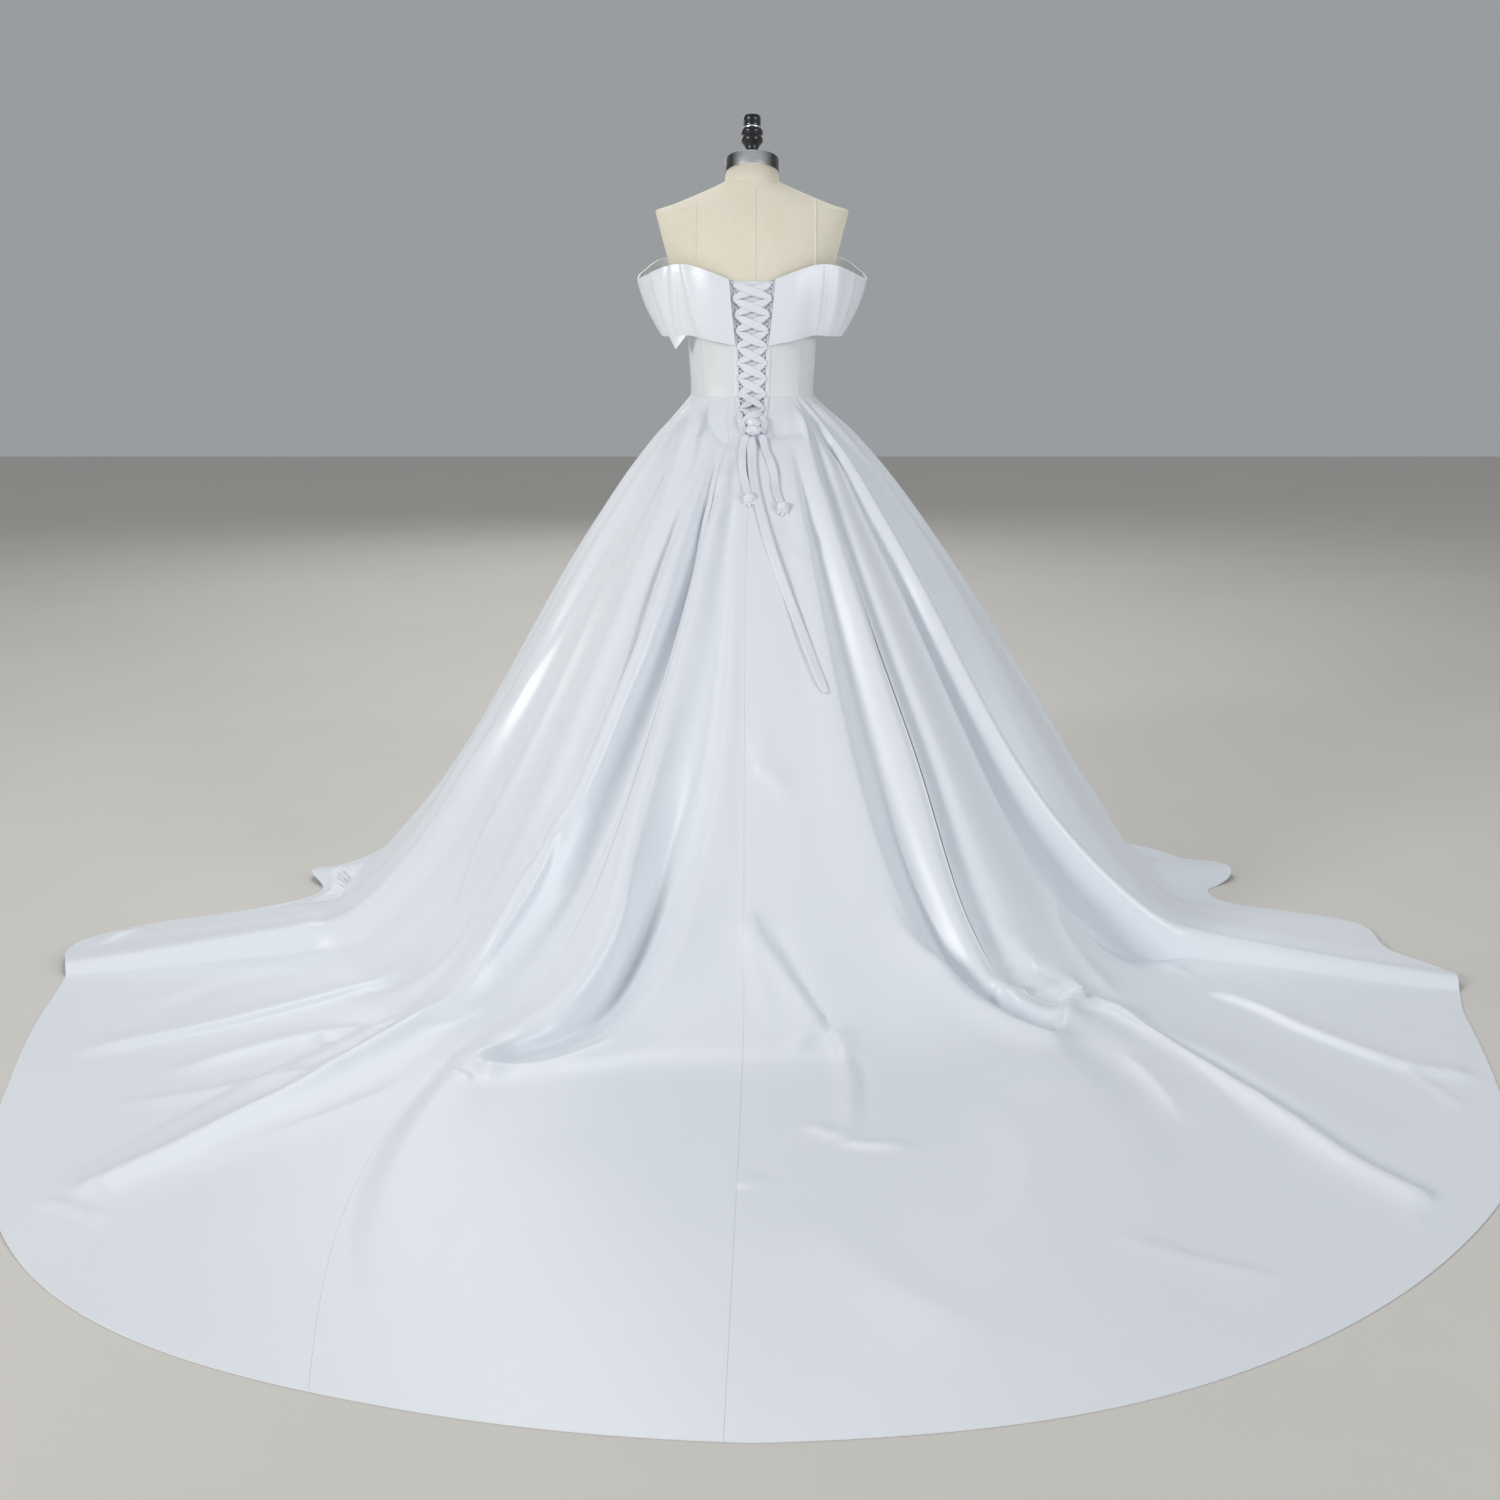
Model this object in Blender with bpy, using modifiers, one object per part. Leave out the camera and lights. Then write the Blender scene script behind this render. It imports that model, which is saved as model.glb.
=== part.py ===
"""A wedding dress with an off-shoulder band, a laced back and a long train, on a dress form.

Metres, +Z up. The origin is on the floor under the form's pole. The front faces -Y, the train
runs towards +Y, and the wearer's left is +X. Azimuths are in degrees from +Y, growing towards +X.
"""

import math
from bisect import bisect_right
from collections import namedtuple

import bpy
from mathutils import Matrix, Vector
from mathutils.bvhtree import BVHTree

# Driving sizes
CLOTH = 0.002  # thickness of the satin wall
GAP = 0.0003  # distance that touching pieces keep
WAIST_HEIGHT = 1.022
FLOOR_REACH = 0.87  # how far from the pole the hanging skirt meets the floor
HANG_LENGTH = 1.28  # waist to floor along the cloth
CLEARANCE = 0.0032  # bodice lining side to the form
PUFF = 0.010  # how far the pleats swell out just under the waist seam
BETWEEN_FOLDS = 2  # columns from one fold line to the next

# Rows of the skirt as levels down the cloth: 0 waist, 1 floor, 2 hem; with a long and a short train
Row = namedtuple("Row", "long short")
ROWS = (
    Row(0, 0), Row(0.02, 0.02), Row(0.045, 0.045), Row(0.075, 0.075), Row(0.12, 0.12),
    Row(0.20, 0.18), Row(0.30, 0.25), Row(0.42, 0.33), Row(0.54, 0.42), Row(0.66, 0.51),
    Row(0.78, 0.60), Row(0.89, 0.69), Row(1.00, 0.78), Row(1.12, 0.86), Row(1.28, 0.93),
    Row(1.50, 0.99), Row(1.75, 1.40), Row(2.0, 2.0),
)

# The form: a ring for each height, as half ellipses that share their width
Ring = namedtuple("Ring", "height half_width front back")
FORM_RINGS = (
    Ring(0.700, 0.164, 0.108, 0.116),
    Ring(0.790, 0.170, 0.114, 0.126),
    Ring(0.880, 0.156, 0.108, 0.114),
    Ring(0.965, 0.127, 0.094, 0.089),
    Ring(1.022, 0.1154, 0.086, 0.079),
    Ring(1.075, 0.1162, 0.091, 0.080),
    Ring(1.127, 0.1195, 0.103, 0.086),
    Ring(1.180, 0.1315, 0.121, 0.094),
    Ring(1.225, 0.1480, 0.130, 0.099),
    Ring(1.266, 0.1620, 0.122, 0.102),
    Ring(1.310, 0.1770, 0.104, 0.098),
    Ring(1.345, 0.1850, 0.086, 0.089),
    Ring(1.366, 0.1880, 0.074, 0.079),
    Ring(1.380, 0.1490, 0.064, 0.071),
    Ring(1.395, 0.1110, 0.057, 0.063),
    Ring(1.410, 0.0750, 0.052, 0.056),
    Ring(1.421, 0.0520, 0.049, 0.050),
)
FORM_COLUMNS = 32
ROUNDNESS = 2.2  # exponent of the rings: 2 is an ellipse, more is boxier
ARM_CUT = (1.266, 0.158, 0.26)  # height, half width there, and how it widens with height
NECK_RADIUS = 0.0495
NECK_HEIGHT = 1.4407
NECK_TILT = math.radians(16)
PLATE_THICKNESS = 0.022
POLE_RADIUS = 0.0175
BASE_RADIUS = 0.19

# The knob: radius and height above the neck plate, from the top down
KNOB_PROFILE = (
    (0.0, 0.083), (0.0148, 0.083), (0.0165, 0.0805), (0.0165, 0.0620), (0.0150, 0.0615),
    (0.0150, 0.0570), (0.0198, 0.0555), (0.0205, 0.0500), (0.0180, 0.0445), (0.0205, 0.0390),
    (0.0200, 0.0330), (0.0150, 0.0270), (0.0118, 0.0200), (0.0118, 0.0080), (0.0140, 0.0060),
    (0.0140, 0.0003), (0.0, 0.0003),
)
KNOB_RING = (0.0153, 0.0172, 0.0577, 0.0608)  # inner and outer radius, bottom and top

# The hem: distance from the pole for each azimuth
Hem = namedtuple("Hem", "azimuth reach")
HEM = (
    Hem(0, 1.853), Hem(12, 1.836), Hem(24, 1.812), Hem(32, 1.757), Hem(42, 1.632),
    Hem(51, 1.505), Hem(61, 1.402), Hem(68, 1.350), Hem(75.5, 1.336), Hem(79.5, 1.222),
    Hem(83, 1.030), Hem(87, 0.925), Hem(91, 0.905), Hem(95.5, 0.950), Hem(99, 0.938),
    Hem(104, 0.900), Hem(115, 0.885), Hem(150, 0.890), Hem(180, 0.900), Hem(210, 0.890),
    Hem(245, 0.895), Hem(252, 0.955), Hem(258, 0.990), Hem(263, 1.038), Hem(266, 1.025),
    Hem(270, 0.958), Hem(275, 0.990), Hem(278, 1.130), Hem(280.5, 1.222), Hem(287, 1.262),
    Hem(290.5, 1.360), Hem(299, 1.404), Hem(309, 1.505), Hem(318, 1.630), Hem(327.5, 1.712),
    Hem(339, 1.794), Hem(348, 1.836), Hem(360, 1.853),
)

# The folds: where each line runs and how far it rises over the plain cone, in millimetres.
# Levels go down the cloth from the waist through the hanging part to the floor and the hem.
LEVELS = (0.0, 0.09, 0.24, 0.57, 0.90, 1.10, 2.0)
PLEATED_FROM = 40  # azimuth where the waist seam has pleats; the middle of the back is flat
PLEAT_SHARE = 0.5  # how much of a pleat's upper rise it has just under the waist seam
Fold = namedtuple("Fold", "name waist upper middle lower floor hem up mid low flat edge")
LEFT_FOLDS = (
    Fold("centre seam", 1, 2, 1.5, 1, 1, 1, 0, 3, 5, 2, 0),
    Fold("centre swell", 6, 5.5, 5.5, 12, 17, 6, 1, 9, 16, 6, 0),
    Fold("soft trough", 9, 8.5, 10, 17, 22, 9, -4, -20, -32, 0, 0),
    Fold("long swell", 13, 14, 18.5, 20.5, 27, 13, 10, 22, 30, 16, 0),
    Fold("left gore seam", 17, 17, 21, 25.5, 29.5, 15.8, 2, 8, 12, 6, 0),
    Fold("dark trough", 21, 20.5, 24.2, 31, 34, 24, -20, -32, -18, 0, 0),
    Fold("thin ridge", 26, 24, 30, 36, 39.5, 36, 12, 19, 26, 18, 8),
    Fold("left pleat line", 42, 31, 32, 38, 41.5, 38, -5, -8, -6, 0, 0),
    Fold("pale panel", 45, 37, 38.5, 41, 46, 46, 7, 12, 9, 3, 0),
    Fold("side trough", 48, 47, 49, 46.5, 52, 54, -18, -36, -34, 0, 0),
    Fold("ridge foot", 55, 55, 58, 60, 65, 68.2, -8, -26, -18, 0, 0),
    Fold("left ridge", 65, 63, 66, 66.5, 67, 70, 2, 2, 14, 44, 18),
    Fold("train corner", 72, 71, 73, 73.5, 74.5, 75.5, -16, -26, -14, 18, 8),
    Fold("corner step", 78, 78, 79, 79, 79.5, 79.5, -6, -20, -10, 12, 4),
    Fold("side bay", 84, 84, 84.5, 84, 84, 83.5, -20, -36, -34, 0, 0),
    Fold("left side seam", 90, 90, 90, 90, 89.5, 89, -12, -26, -26, 4, 0),
    Fold("left ear", 97, 97, 97, 96, 95.5, 95.5, -22, -38, -30, 14, 16),
    Fold("ear end", 104, 104, 104, 104, 103, 102.5, -8, -16, -8, 2, 0),
)
RIGHT_FOLDS = (
    Fold("right ear end", -103, -103, -103, -104, -105, -105, 16, 26, 12, 3, 0),
    Fold("right ear", -97, -97, -97, -97, -97, -97, -6, 16, 4, 20, 18),
    Fold("right side seam", -90, -90, -89, -90, -90, -90.5, 16, 30, 10, 3, 0),
    Fold("right bay", -84, -84, -83, -84, -84.5, -84.5, -4, 24, 2, 2, 2),
    Fold("right corner step", -78, -78, -77, -78, -79, -79.5, 8, 24, 2, 12, 6),
    Fold("outer crest", -71, -71, -69, -71, -73, -73, 16, 26, 12, 18, 8),
    Fold("outer trough", -63, -63, -59, -64, -68.5, -70, -18, -28, -16, 8, 6),
    Fold("right ridge", -58, -53.5, -53.5, -60.5, -65, -67.5, 16, 22, 36, 42, 18),
    Fold("deep trough", -54, -48.5, -48.5, -57.5, -63, -66, -28, -58, -58, 0, 0),
    Fold("small crease", -52, -45, -43.5, -47, -54, -52, 0, 4, 2, 5, 2),
    Fold("right panel", -50, -38, -38, -39, -46.5, -42, 8, 14, 12, 5, 2),
    Fold("right pleat line", -47, -32, -31.5, -32, -43, -36.5, -5, -10, -7, 12, 8),
    Fold("right gore seam", -44, -30.7, -30.2, -30.8, -41.5, -30, 2, 4, 10, 1, 0),
    Fold("right crest", -38, -28.5, -28, -29, -37.5, -26, 11, 20, 26, 10, 0),
    Fold("right trough", -30, -23, -24, -27, -33.5, -20, -16, -36, -26, 0, 0),
    Fold("inner swell", -24, -19, -18.5, -23.5, -30, -16, 8, 14, 16, 10, 0),
    Fold("centre panel", -12, -11, -10, -12, -15, -9, 0, 4, 6, 2, 0),
)
FRONT_FOLDS = 20  # crests and troughs between the two ears
FRONT_START, FRONT_END = 110.0, 250.0
FRONT_CREST = (10, 17, 15, 4, 3)
FRONT_TROUGH = (-9, -13, -9, 0, 0)
SEAMS = (
    "centre seam", "left gore seam", "left side seam", "front pleat 4", "front pleat 15",
    "right side seam", "right gore seam", "centre seam end",
)
PANELS = (
    "skirt_back_left", "skirt_side_back_left", "skirt_side_front_left", "skirt_front",
    "skirt_side_front_right", "skirt_side_back_right", "skirt_back_right",
)

# The opening at the back: half of its width for each height
OPENING = ((1.300, 0.0420), (1.238, 0.0390), (1.118, 0.0262), (1.022, 0.0240), (0.985, 0.0190),
           (0.950, 0.0))
OPENING_SPREAD = 50  # degrees round from the opening over which the columns make room for it
LACE_TOP, LACE_BOTTOM, LACE_CROSSINGS = 1.233, 0.968, 10
LACE_WIDTH, LACE_THICKNESS = 0.0105, 0.0011
LACE_TURN = 0.0042  # radius of the lace's turn in a loop
LACE_INSET = 0.0025  # how far inside the opening's edge a turn begins
TAPE_LIFT, TAPE_WIDTH = 0.0008, 0.008  # loop tape over the bodice, and across
TAIL_LIFT = 0.0004  # lace ends and their knots over the skirt

# The band: a station for each place round it, top edge and bottom edge
Station = namedtuple("Station", "top_x top_y top_z low_x low_y low_z")
BAND = (
    Station(0.0434, 0.1069, 1.239, 0.0310, 0.0913, 1.118),
    Station(0.0800, 0.1025, 1.253, 0.0760, 0.0900, 1.127),
    Station(0.1230, 0.0860, 1.266, 0.1160, 0.0730, 1.137),
    Station(0.1620, 0.0700, 1.264, 0.1480, 0.0560, 1.136),
    Station(0.1980, 0.0380, 1.250, 0.1690, 0.0280, 1.136),
    Station(0.2210, -0.0080, 1.243, 0.1750, -0.0080, 1.138),
    Station(0.2080, -0.0580, 1.262, 0.1700, -0.0480, 1.146),
    Station(0.1760, -0.1000, 1.284, 0.1520, -0.0860, 1.158),
    Station(0.1200, -0.1220, 1.286, 0.1120, -0.1020, 1.160),
    Station(0.0600, -0.1420, 1.272, 0.0560, -0.1150, 1.150),
    Station(0.0000, -0.1445, 1.258, 0.0000, -0.1180, 1.140),
)
BAND_THICKNESS = 0.003
BAND_BULGE = 0.006
BAND_CUTS = (("back", 0.0, 2.5), ("sleeve", 2.5, 7.5))

# The lace ends: azimuth and level down the skirt, by eye
TAIL_ROUTES = {
    "lace_tail_long": ((0, 0.088), (0, 0.125), (-1, 0.165), (-3, 0.205), (-5, 0.25),
                       (-8, 0.31), (-12, 0.38), (-14, 0.43), (-16, 0.48)),
    "lace_tail_left": ((5.0, 0.088), (5.6, 0.118), (4.6, 0.148), (2.8, 0.172), (1.6, 0.187)),
    "lace_tail_right": ((-7, 0.086), (-9.8, 0.12), (-11, 0.15), (-11, 0.18), (-12.2, 0.203)),
}
TAIL_DIAMETERS = {"lace_tail_long": 0.008, "lace_tail_left": 0.007, "lace_tail_right": 0.007}
TAIL_START_GAP = 0.0014  # from the lacing's knot to the middle of a tail's flat end
END_KNOTS = {"lace_tail_left": 0.024, "lace_tail_right": 0.026}  # length of the knot at a tail's end


def clear_scene():
    for item in list(bpy.data.objects):
        bpy.data.objects.remove(item)


def new_collection(name):
    collection = bpy.data.collections.new(name)
    bpy.context.scene.collection.children.link(collection)
    return collection


def new_material(name, colour, roughness, metallic=0.0):
    material = bpy.data.materials.new(name)
    material.use_nodes = True
    shader = material.node_tree.nodes["Principled BSDF"]
    shader.inputs["Base Color"].default_value = (*colour, 1)
    shader.inputs["Roughness"].default_value = roughness
    shader.inputs["Metallic"].default_value = metallic
    return material


def add_mesh(name, points, faces, material, collection):
    mesh = bpy.data.meshes.new(name)
    mesh.from_pydata([tuple(p) for p in points], [], faces)
    mesh.materials.append(material)
    mesh.shade_smooth()
    item = bpy.data.objects.new(name, mesh)
    collection.objects.link(item)
    return item


def add_wall(name, outer, inner, material, collection):
    """One closed body between two grids of points, rows from the top down, facing out on the outer grid."""
    rows, columns = len(outer), len(outer[0])
    points = [p for grid in (outer, inner) for row in grid for p in row]
    faces = []

    def at(side, row, column):
        return (side * rows + row) * columns + column

    def strip(a, b, c, d):
        faces.extend(((a, c, b), (a, d, c)))

    for row in range(rows - 1):
        for column in range(columns - 1):
            corners = [(row, column), (row + 1, column), (row + 1, column + 1), (row, column + 1)]
            strip(*(at(0, *corner) for corner in corners))
            a, b, c, d = (at(1, *corner) for corner in corners)
            faces.extend(((a, b, c), (a, c, d)))
    for column in range(columns - 1):
        strip(at(0, 0, column), at(0, 0, column + 1), at(1, 0, column + 1), at(1, 0, column))
        last = rows - 1
        strip(at(1, last, column), at(1, last, column + 1), at(0, last, column + 1), at(0, last, column))
    end = columns - 1
    for row in range(rows - 1):
        strip(at(1, row, 0), at(1, row + 1, 0), at(0, row + 1, 0), at(0, row, 0))
        strip(at(0, row, end), at(0, row + 1, end), at(1, row + 1, end), at(1, row, end))
    return add_mesh(name, points, faces, material, collection)


def add_loft(name, rings, material, collection):
    """One closed body through rings of equal length, from the bottom up, with flat ends."""
    count = len(rings[0])
    points = [p for ring in rings for p in ring]
    faces = []
    for row in range(len(rings) - 1):
        for column in range(count):
            after = (column + 1) % count
            a, b = row * count + column, row * count + after
            faces.extend(((a, b, b + count), (a, b + count, a + count)))
    faces.append(tuple(reversed(range(count))))
    faces.append(tuple(range(len(points) - count, len(points))))
    return add_mesh(name, points, faces, material, collection)


def add_turned(name, profile, material, collection, steps=20):
    """A body turned round Z from a profile that runs from the top down on its outer side."""
    mesh = bpy.data.meshes.new(name)
    points = [(radius, 0, height) for radius, height in profile]
    edges = [(i, i + 1) for i in range(len(points) - 1)]
    if profile[0][0] > 0:
        edges.append((len(points) - 1, 0))
    mesh.from_pydata(points, edges, [])
    mesh.materials.append(material)
    item = bpy.data.objects.new(name, mesh)
    collection.objects.link(item)
    screw = item.modifiers.new("Turn", "SCREW")
    screw.steps = steps
    screw.render_steps = steps
    screw.use_merge_vertices = True
    screw.merge_threshold = 0.0001
    return item


def between(knots, values, place):
    """A smooth curve through values at rising knots, without overshoot at the ends."""
    i = min(max(bisect_right(knots, place) - 1, 0), len(knots) - 2)

    def slope(k):
        low, high = max(k - 1, 0), min(k + 1, len(knots) - 1)
        return (values[high] - values[low]) / (knots[high] - knots[low])

    step = knots[i + 1] - knots[i]
    t = min(max((place - knots[i]) / step, 0.0), 1.0)
    return (
        values[i] * (2 * t**3 - 3 * t**2 + 1)
        + values[i + 1] * (3 * t**2 - 2 * t**3)
        + slope(i) * step * (t**3 - 2 * t**2 + t)
        + slope(i + 1) * step * (t**3 - t**2)
    )


def straight(knots, values, place):
    i = min(max(bisect_right(knots, place) - 1, 0), len(knots) - 2)
    t = min(max((place - knots[i]) / (knots[i + 1] - knots[i]), 0.0), 1.0)
    return values[i] * (1 - t) + values[i + 1] * t


def signed_power(value, power):
    return math.copysign(abs(value) ** power, value)


def form_sizes(height):
    knots = [ring.height for ring in FORM_RINGS]
    return [
        between(knots, [getattr(ring, column) for ring in FORM_RINGS], height)
        for column in ("half_width", "front", "back")
    ]


def form_point(height, angle, out=0.0):
    """A point on the form's ring at this height and ring angle, moved out by a distance."""
    half_width, front, back = form_sizes(height)
    turn = math.radians(angle)
    depth = back if math.cos(turn) > 0 else front
    x = (half_width + out) * signed_power(math.sin(turn), 2 / ROUNDNESS)
    y = (depth + out) * signed_power(math.cos(turn), 2 / ROUNDNESS)
    return Vector((x, y, height))


def form_angle(height, x, out):
    """The ring angle at the back where the form, moved out, is this far from the middle."""
    half_width = form_sizes(height)[0] + out
    return math.degrees(math.asin(signed_power(x / half_width, ROUNDNESS / 2)))


def waist_reach(azimuth):
    """Distance of the waist seam from the axis at an azimuth."""
    half_width, front, back = form_sizes(WAIST_HEIGHT)
    turn = math.radians(azimuth)
    depth = back if math.cos(turn) > 0 else front
    wide = abs(math.sin(turn)) / (half_width + CLEARANCE)
    deep = abs(math.cos(turn)) / (depth + CLEARANCE)
    return (wide**ROUNDNESS + deep**ROUNDNESS) ** (-1 / ROUNDNESS)


HEM_AZIMUTHS = [point.azimuth for point in HEM]
HEM_REACHES = [point.reach for point in HEM]


def hem_reach(azimuth):
    return between(HEM_AZIMUTHS, HEM_REACHES, azimuth % 360)


def cone_height(share):
    """Height of the plain cone at a share of the way out from the waist to the floor."""
    if share > 1:
        return -WAIST_HEIGHT * 0.72 * (share - 1)
    swell = 0.038 * math.sin(2 * math.pi * share) - 0.012 * math.sin(math.pi * share)
    return WAIST_HEIGHT * (1 - share + swell)


def cone_point(azimuth, level):
    """Reach, height and outward slope of the plain skirt, before its folds."""
    waist, hem = waist_reach(azimuth), hem_reach(azimuth)
    if level <= 1:
        puff = PUFF * min(level / 0.02, 1.0) * (1 - level)
        reach = waist + puff + (FLOOR_REACH - waist) * level
    else:
        reach = FLOOR_REACH + (hem - FLOOR_REACH) * (level - 1)
    softness = 0.012 + 0.045 * min(max((hem - FLOOR_REACH) / 0.3, 0.0), 1.0)

    def height(at):
        share = (at - waist) / (FLOOR_REACH - waist)
        plain = cone_height(share)
        return 0.5 * (plain + math.hypot(plain, softness * min(share, 1.0))) - 0.004 * min(share, 1.0)

    step = 0.001
    slope = (height(reach) - height(reach + step)) / step
    return reach, height(reach), slope


def fold_levels(fold):
    under_seam = fold.waist * 0.62 + fold.upper * 0.38
    return [fold.waist, under_seam, fold.upper, fold.middle, fold.lower, fold.floor, fold.hem]


def fold_rises(fold):
    from_middle = min(fold.waist % 360, -fold.waist % 360)
    under_seam = fold.up * PLEAT_SHARE if from_middle > PLEATED_FROM else 0.0
    return [0.0, under_seam, fold.up, fold.mid, fold.low, fold.flat, fold.edge]


def turned_on(fold, name):
    """The same fold line, one turn further."""
    return Fold(name, *(value + 360 for value in fold[1:7]), *fold[7:])


def all_folds():
    """Every fold line once round the skirt, from the centre seam back to it."""
    folds = list(LEFT_FOLDS)
    for number in range(FRONT_FOLDS):
        azimuth = FRONT_START + (FRONT_END - FRONT_START) * number / (FRONT_FOLDS - 1)
        sway = 1.2 * math.sin(2.3 * number)
        size = 1 + 0.25 * math.sin(1.7 * number + 0.6)
        rises = FRONT_TROUGH if number % 2 else FRONT_CREST
        lines = [azimuth, azimuth + 0.3 * sway, azimuth + sway, azimuth + 0.8 * sway]
        lines += [azimuth + 0.5 * sway, azimuth]
        folds.append(Fold(f"front pleat {number}", *lines, *(size * rise for rise in rises)))
    for fold in RIGHT_FOLDS:
        folds.append(turned_on(fold, fold.name))
    folds.append(turned_on(LEFT_FOLDS[0], "centre seam end"))
    return folds


FOLDS = all_folds()
FOLD_LINES = [(fold_levels(fold), fold_rises(fold)) for fold in FOLDS]


def fold_line(place, level):
    """Azimuth and rise at a place among the fold lines, counted in folds."""
    number = min(int(place), len(FOLDS) - 2)
    share = place - number
    ease = 0.5 - 0.5 * math.cos(math.pi * share)
    near, far = (
        [between(LEVELS, values, level) for values in FOLD_LINES[number + side]] for side in (0, 1)
    )
    azimuth = near[0] * (1 - share) + far[0] * share
    return azimuth, (near[1] * (1 - ease) + far[1] * ease) / 1000


def opening_half(height):
    heights = [-h for h, _ in OPENING]
    return straight(heights, [half for _, half in OPENING], -height)


def beside_opening(azimuth, level):
    """The azimuth moved round so that the back's columns start at the opening's edge."""
    reach, height, _ = cone_point(azimuth, level)
    edge = math.degrees(opening_half(height) / reach)
    middle = FOLDS[0].middle
    if azimuth < 180:
        from_seam = azimuth - middle
        return azimuth + edge * max(1 - from_seam / OPENING_SPREAD, 0.0)
    from_seam = middle + 360 - azimuth
    return azimuth - edge * max(1 - from_seam / OPENING_SPREAD, 0.0)


def skirt_point(place, level, parted=False):
    """A point of the skirt's underside, parted at the back opening if asked."""
    azimuth, rise = fold_line(place, level)
    if parted:
        azimuth = beside_opening(azimuth, level)
    reach, height, slope = cone_point(azimuth, level)
    length = math.hypot(slope, 1)
    reach += rise * slope / length
    height = max(height + rise / length, 0.0)
    turn = math.radians(azimuth)
    return Vector((reach * math.sin(turn), reach * math.cos(turn), height))


def place_at(azimuth, level):
    """The place among the fold lines that lies at an azimuth."""
    lines = [between(LEVELS, azimuths, level) for azimuths, _ in FOLD_LINES]
    azimuth = azimuth if azimuth >= lines[0] else azimuth + 360
    number = min(max(bisect_right(lines, azimuth) - 1, 0), len(lines) - 2)
    return number + (azimuth - lines[number]) / (lines[number + 1] - lines[number])


def skirt_level(row, azimuth):
    """The level of a row, with fewer rows on the floor where the train is short."""
    train = min(max((hem_reach(azimuth) - FLOOR_REACH) / 0.9, 0.0), 1.0)
    share = train**0.5
    return row.long * share + row.short * (1 - share)


def shell_normals(grid):
    """Outward normals of a grid of points whose columns go round and whose rows go down."""
    rows, columns = len(grid), len(grid[0])
    normals = []
    for row in range(rows):
        line = []
        for column in range(columns):
            along = grid[row][(column + 1) % columns] - grid[row][column - 1]
            down = grid[min(row + 1, rows - 1)][column] - grid[max(row - 1, 0)][column]
            line.append(along.cross(down).normalized())
        normals.append(line)
    return normals


def add_skirt(material, collection):
    places = [column / BETWEEN_FOLDS for column in range((len(FOLDS) - 1) * BETWEEN_FOLDS + 1)]
    inner = [
        [skirt_point(place, skirt_level(row, fold_line(place, 1.1)[0]), True) for place in places]
        for row in ROWS
    ]
    normals = shell_normals(inner)
    for points, line in zip(inner, normals):
        for column, point in enumerate(points):
            if point.z < GAP:
                line[column] = Vector((0, 0, 1))
    for column, point in enumerate(inner[0]):
        point.z = WAIST_HEIGHT
        normals[0][column] = Vector((point.x, point.y, 0)).normalized()
    outer = [
        [point + normal * CLOTH for point, normal in zip(*lines)] for lines in zip(inner, normals)
    ]
    names = [fold.name for fold in FOLDS]
    for panel, start, end in zip(PANELS, SEAMS, SEAMS[1:]):
        first = names.index(start) * BETWEEN_FOLDS
        last = names.index(end) * BETWEEN_FOLDS
        sides = [
            [[row[column].copy() for column in range(first, last + 1)] for row in grid]
            for grid in (outer, inner)
        ]
        for grid in sides:
            for row in grid:
                for edge, beside in ((0, 1), (-1, -2)):
                    across = row[beside] - row[edge]
                    across.z = 0
                    row[edge] += across.normalized() * GAP * 0.75
        add_wall(panel, *sides, material, collection)


def back_point(x, height, out):
    """A point over the middle of the back, out from the bodice's and the skirt's inner side."""
    if height >= WAIST_HEIGHT:
        reach = CLEARANCE + out
        return form_point(height, form_angle(height, x, reach), reach)
    azimuth = 0.0
    for _ in range(3):
        low, high = 0.0, 0.4
        for _ in range(16):
            middle = (low + high) / 2
            if cone_point(azimuth, middle)[1] > height:
                low = middle
            else:
                high = middle
        reach = cone_point(azimuth, low)[0]
        azimuth = math.degrees(math.asin(x / reach))
    return Vector((x, math.sqrt(reach**2 - x**2) + out * 0.7, height + out * 0.7))


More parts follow.
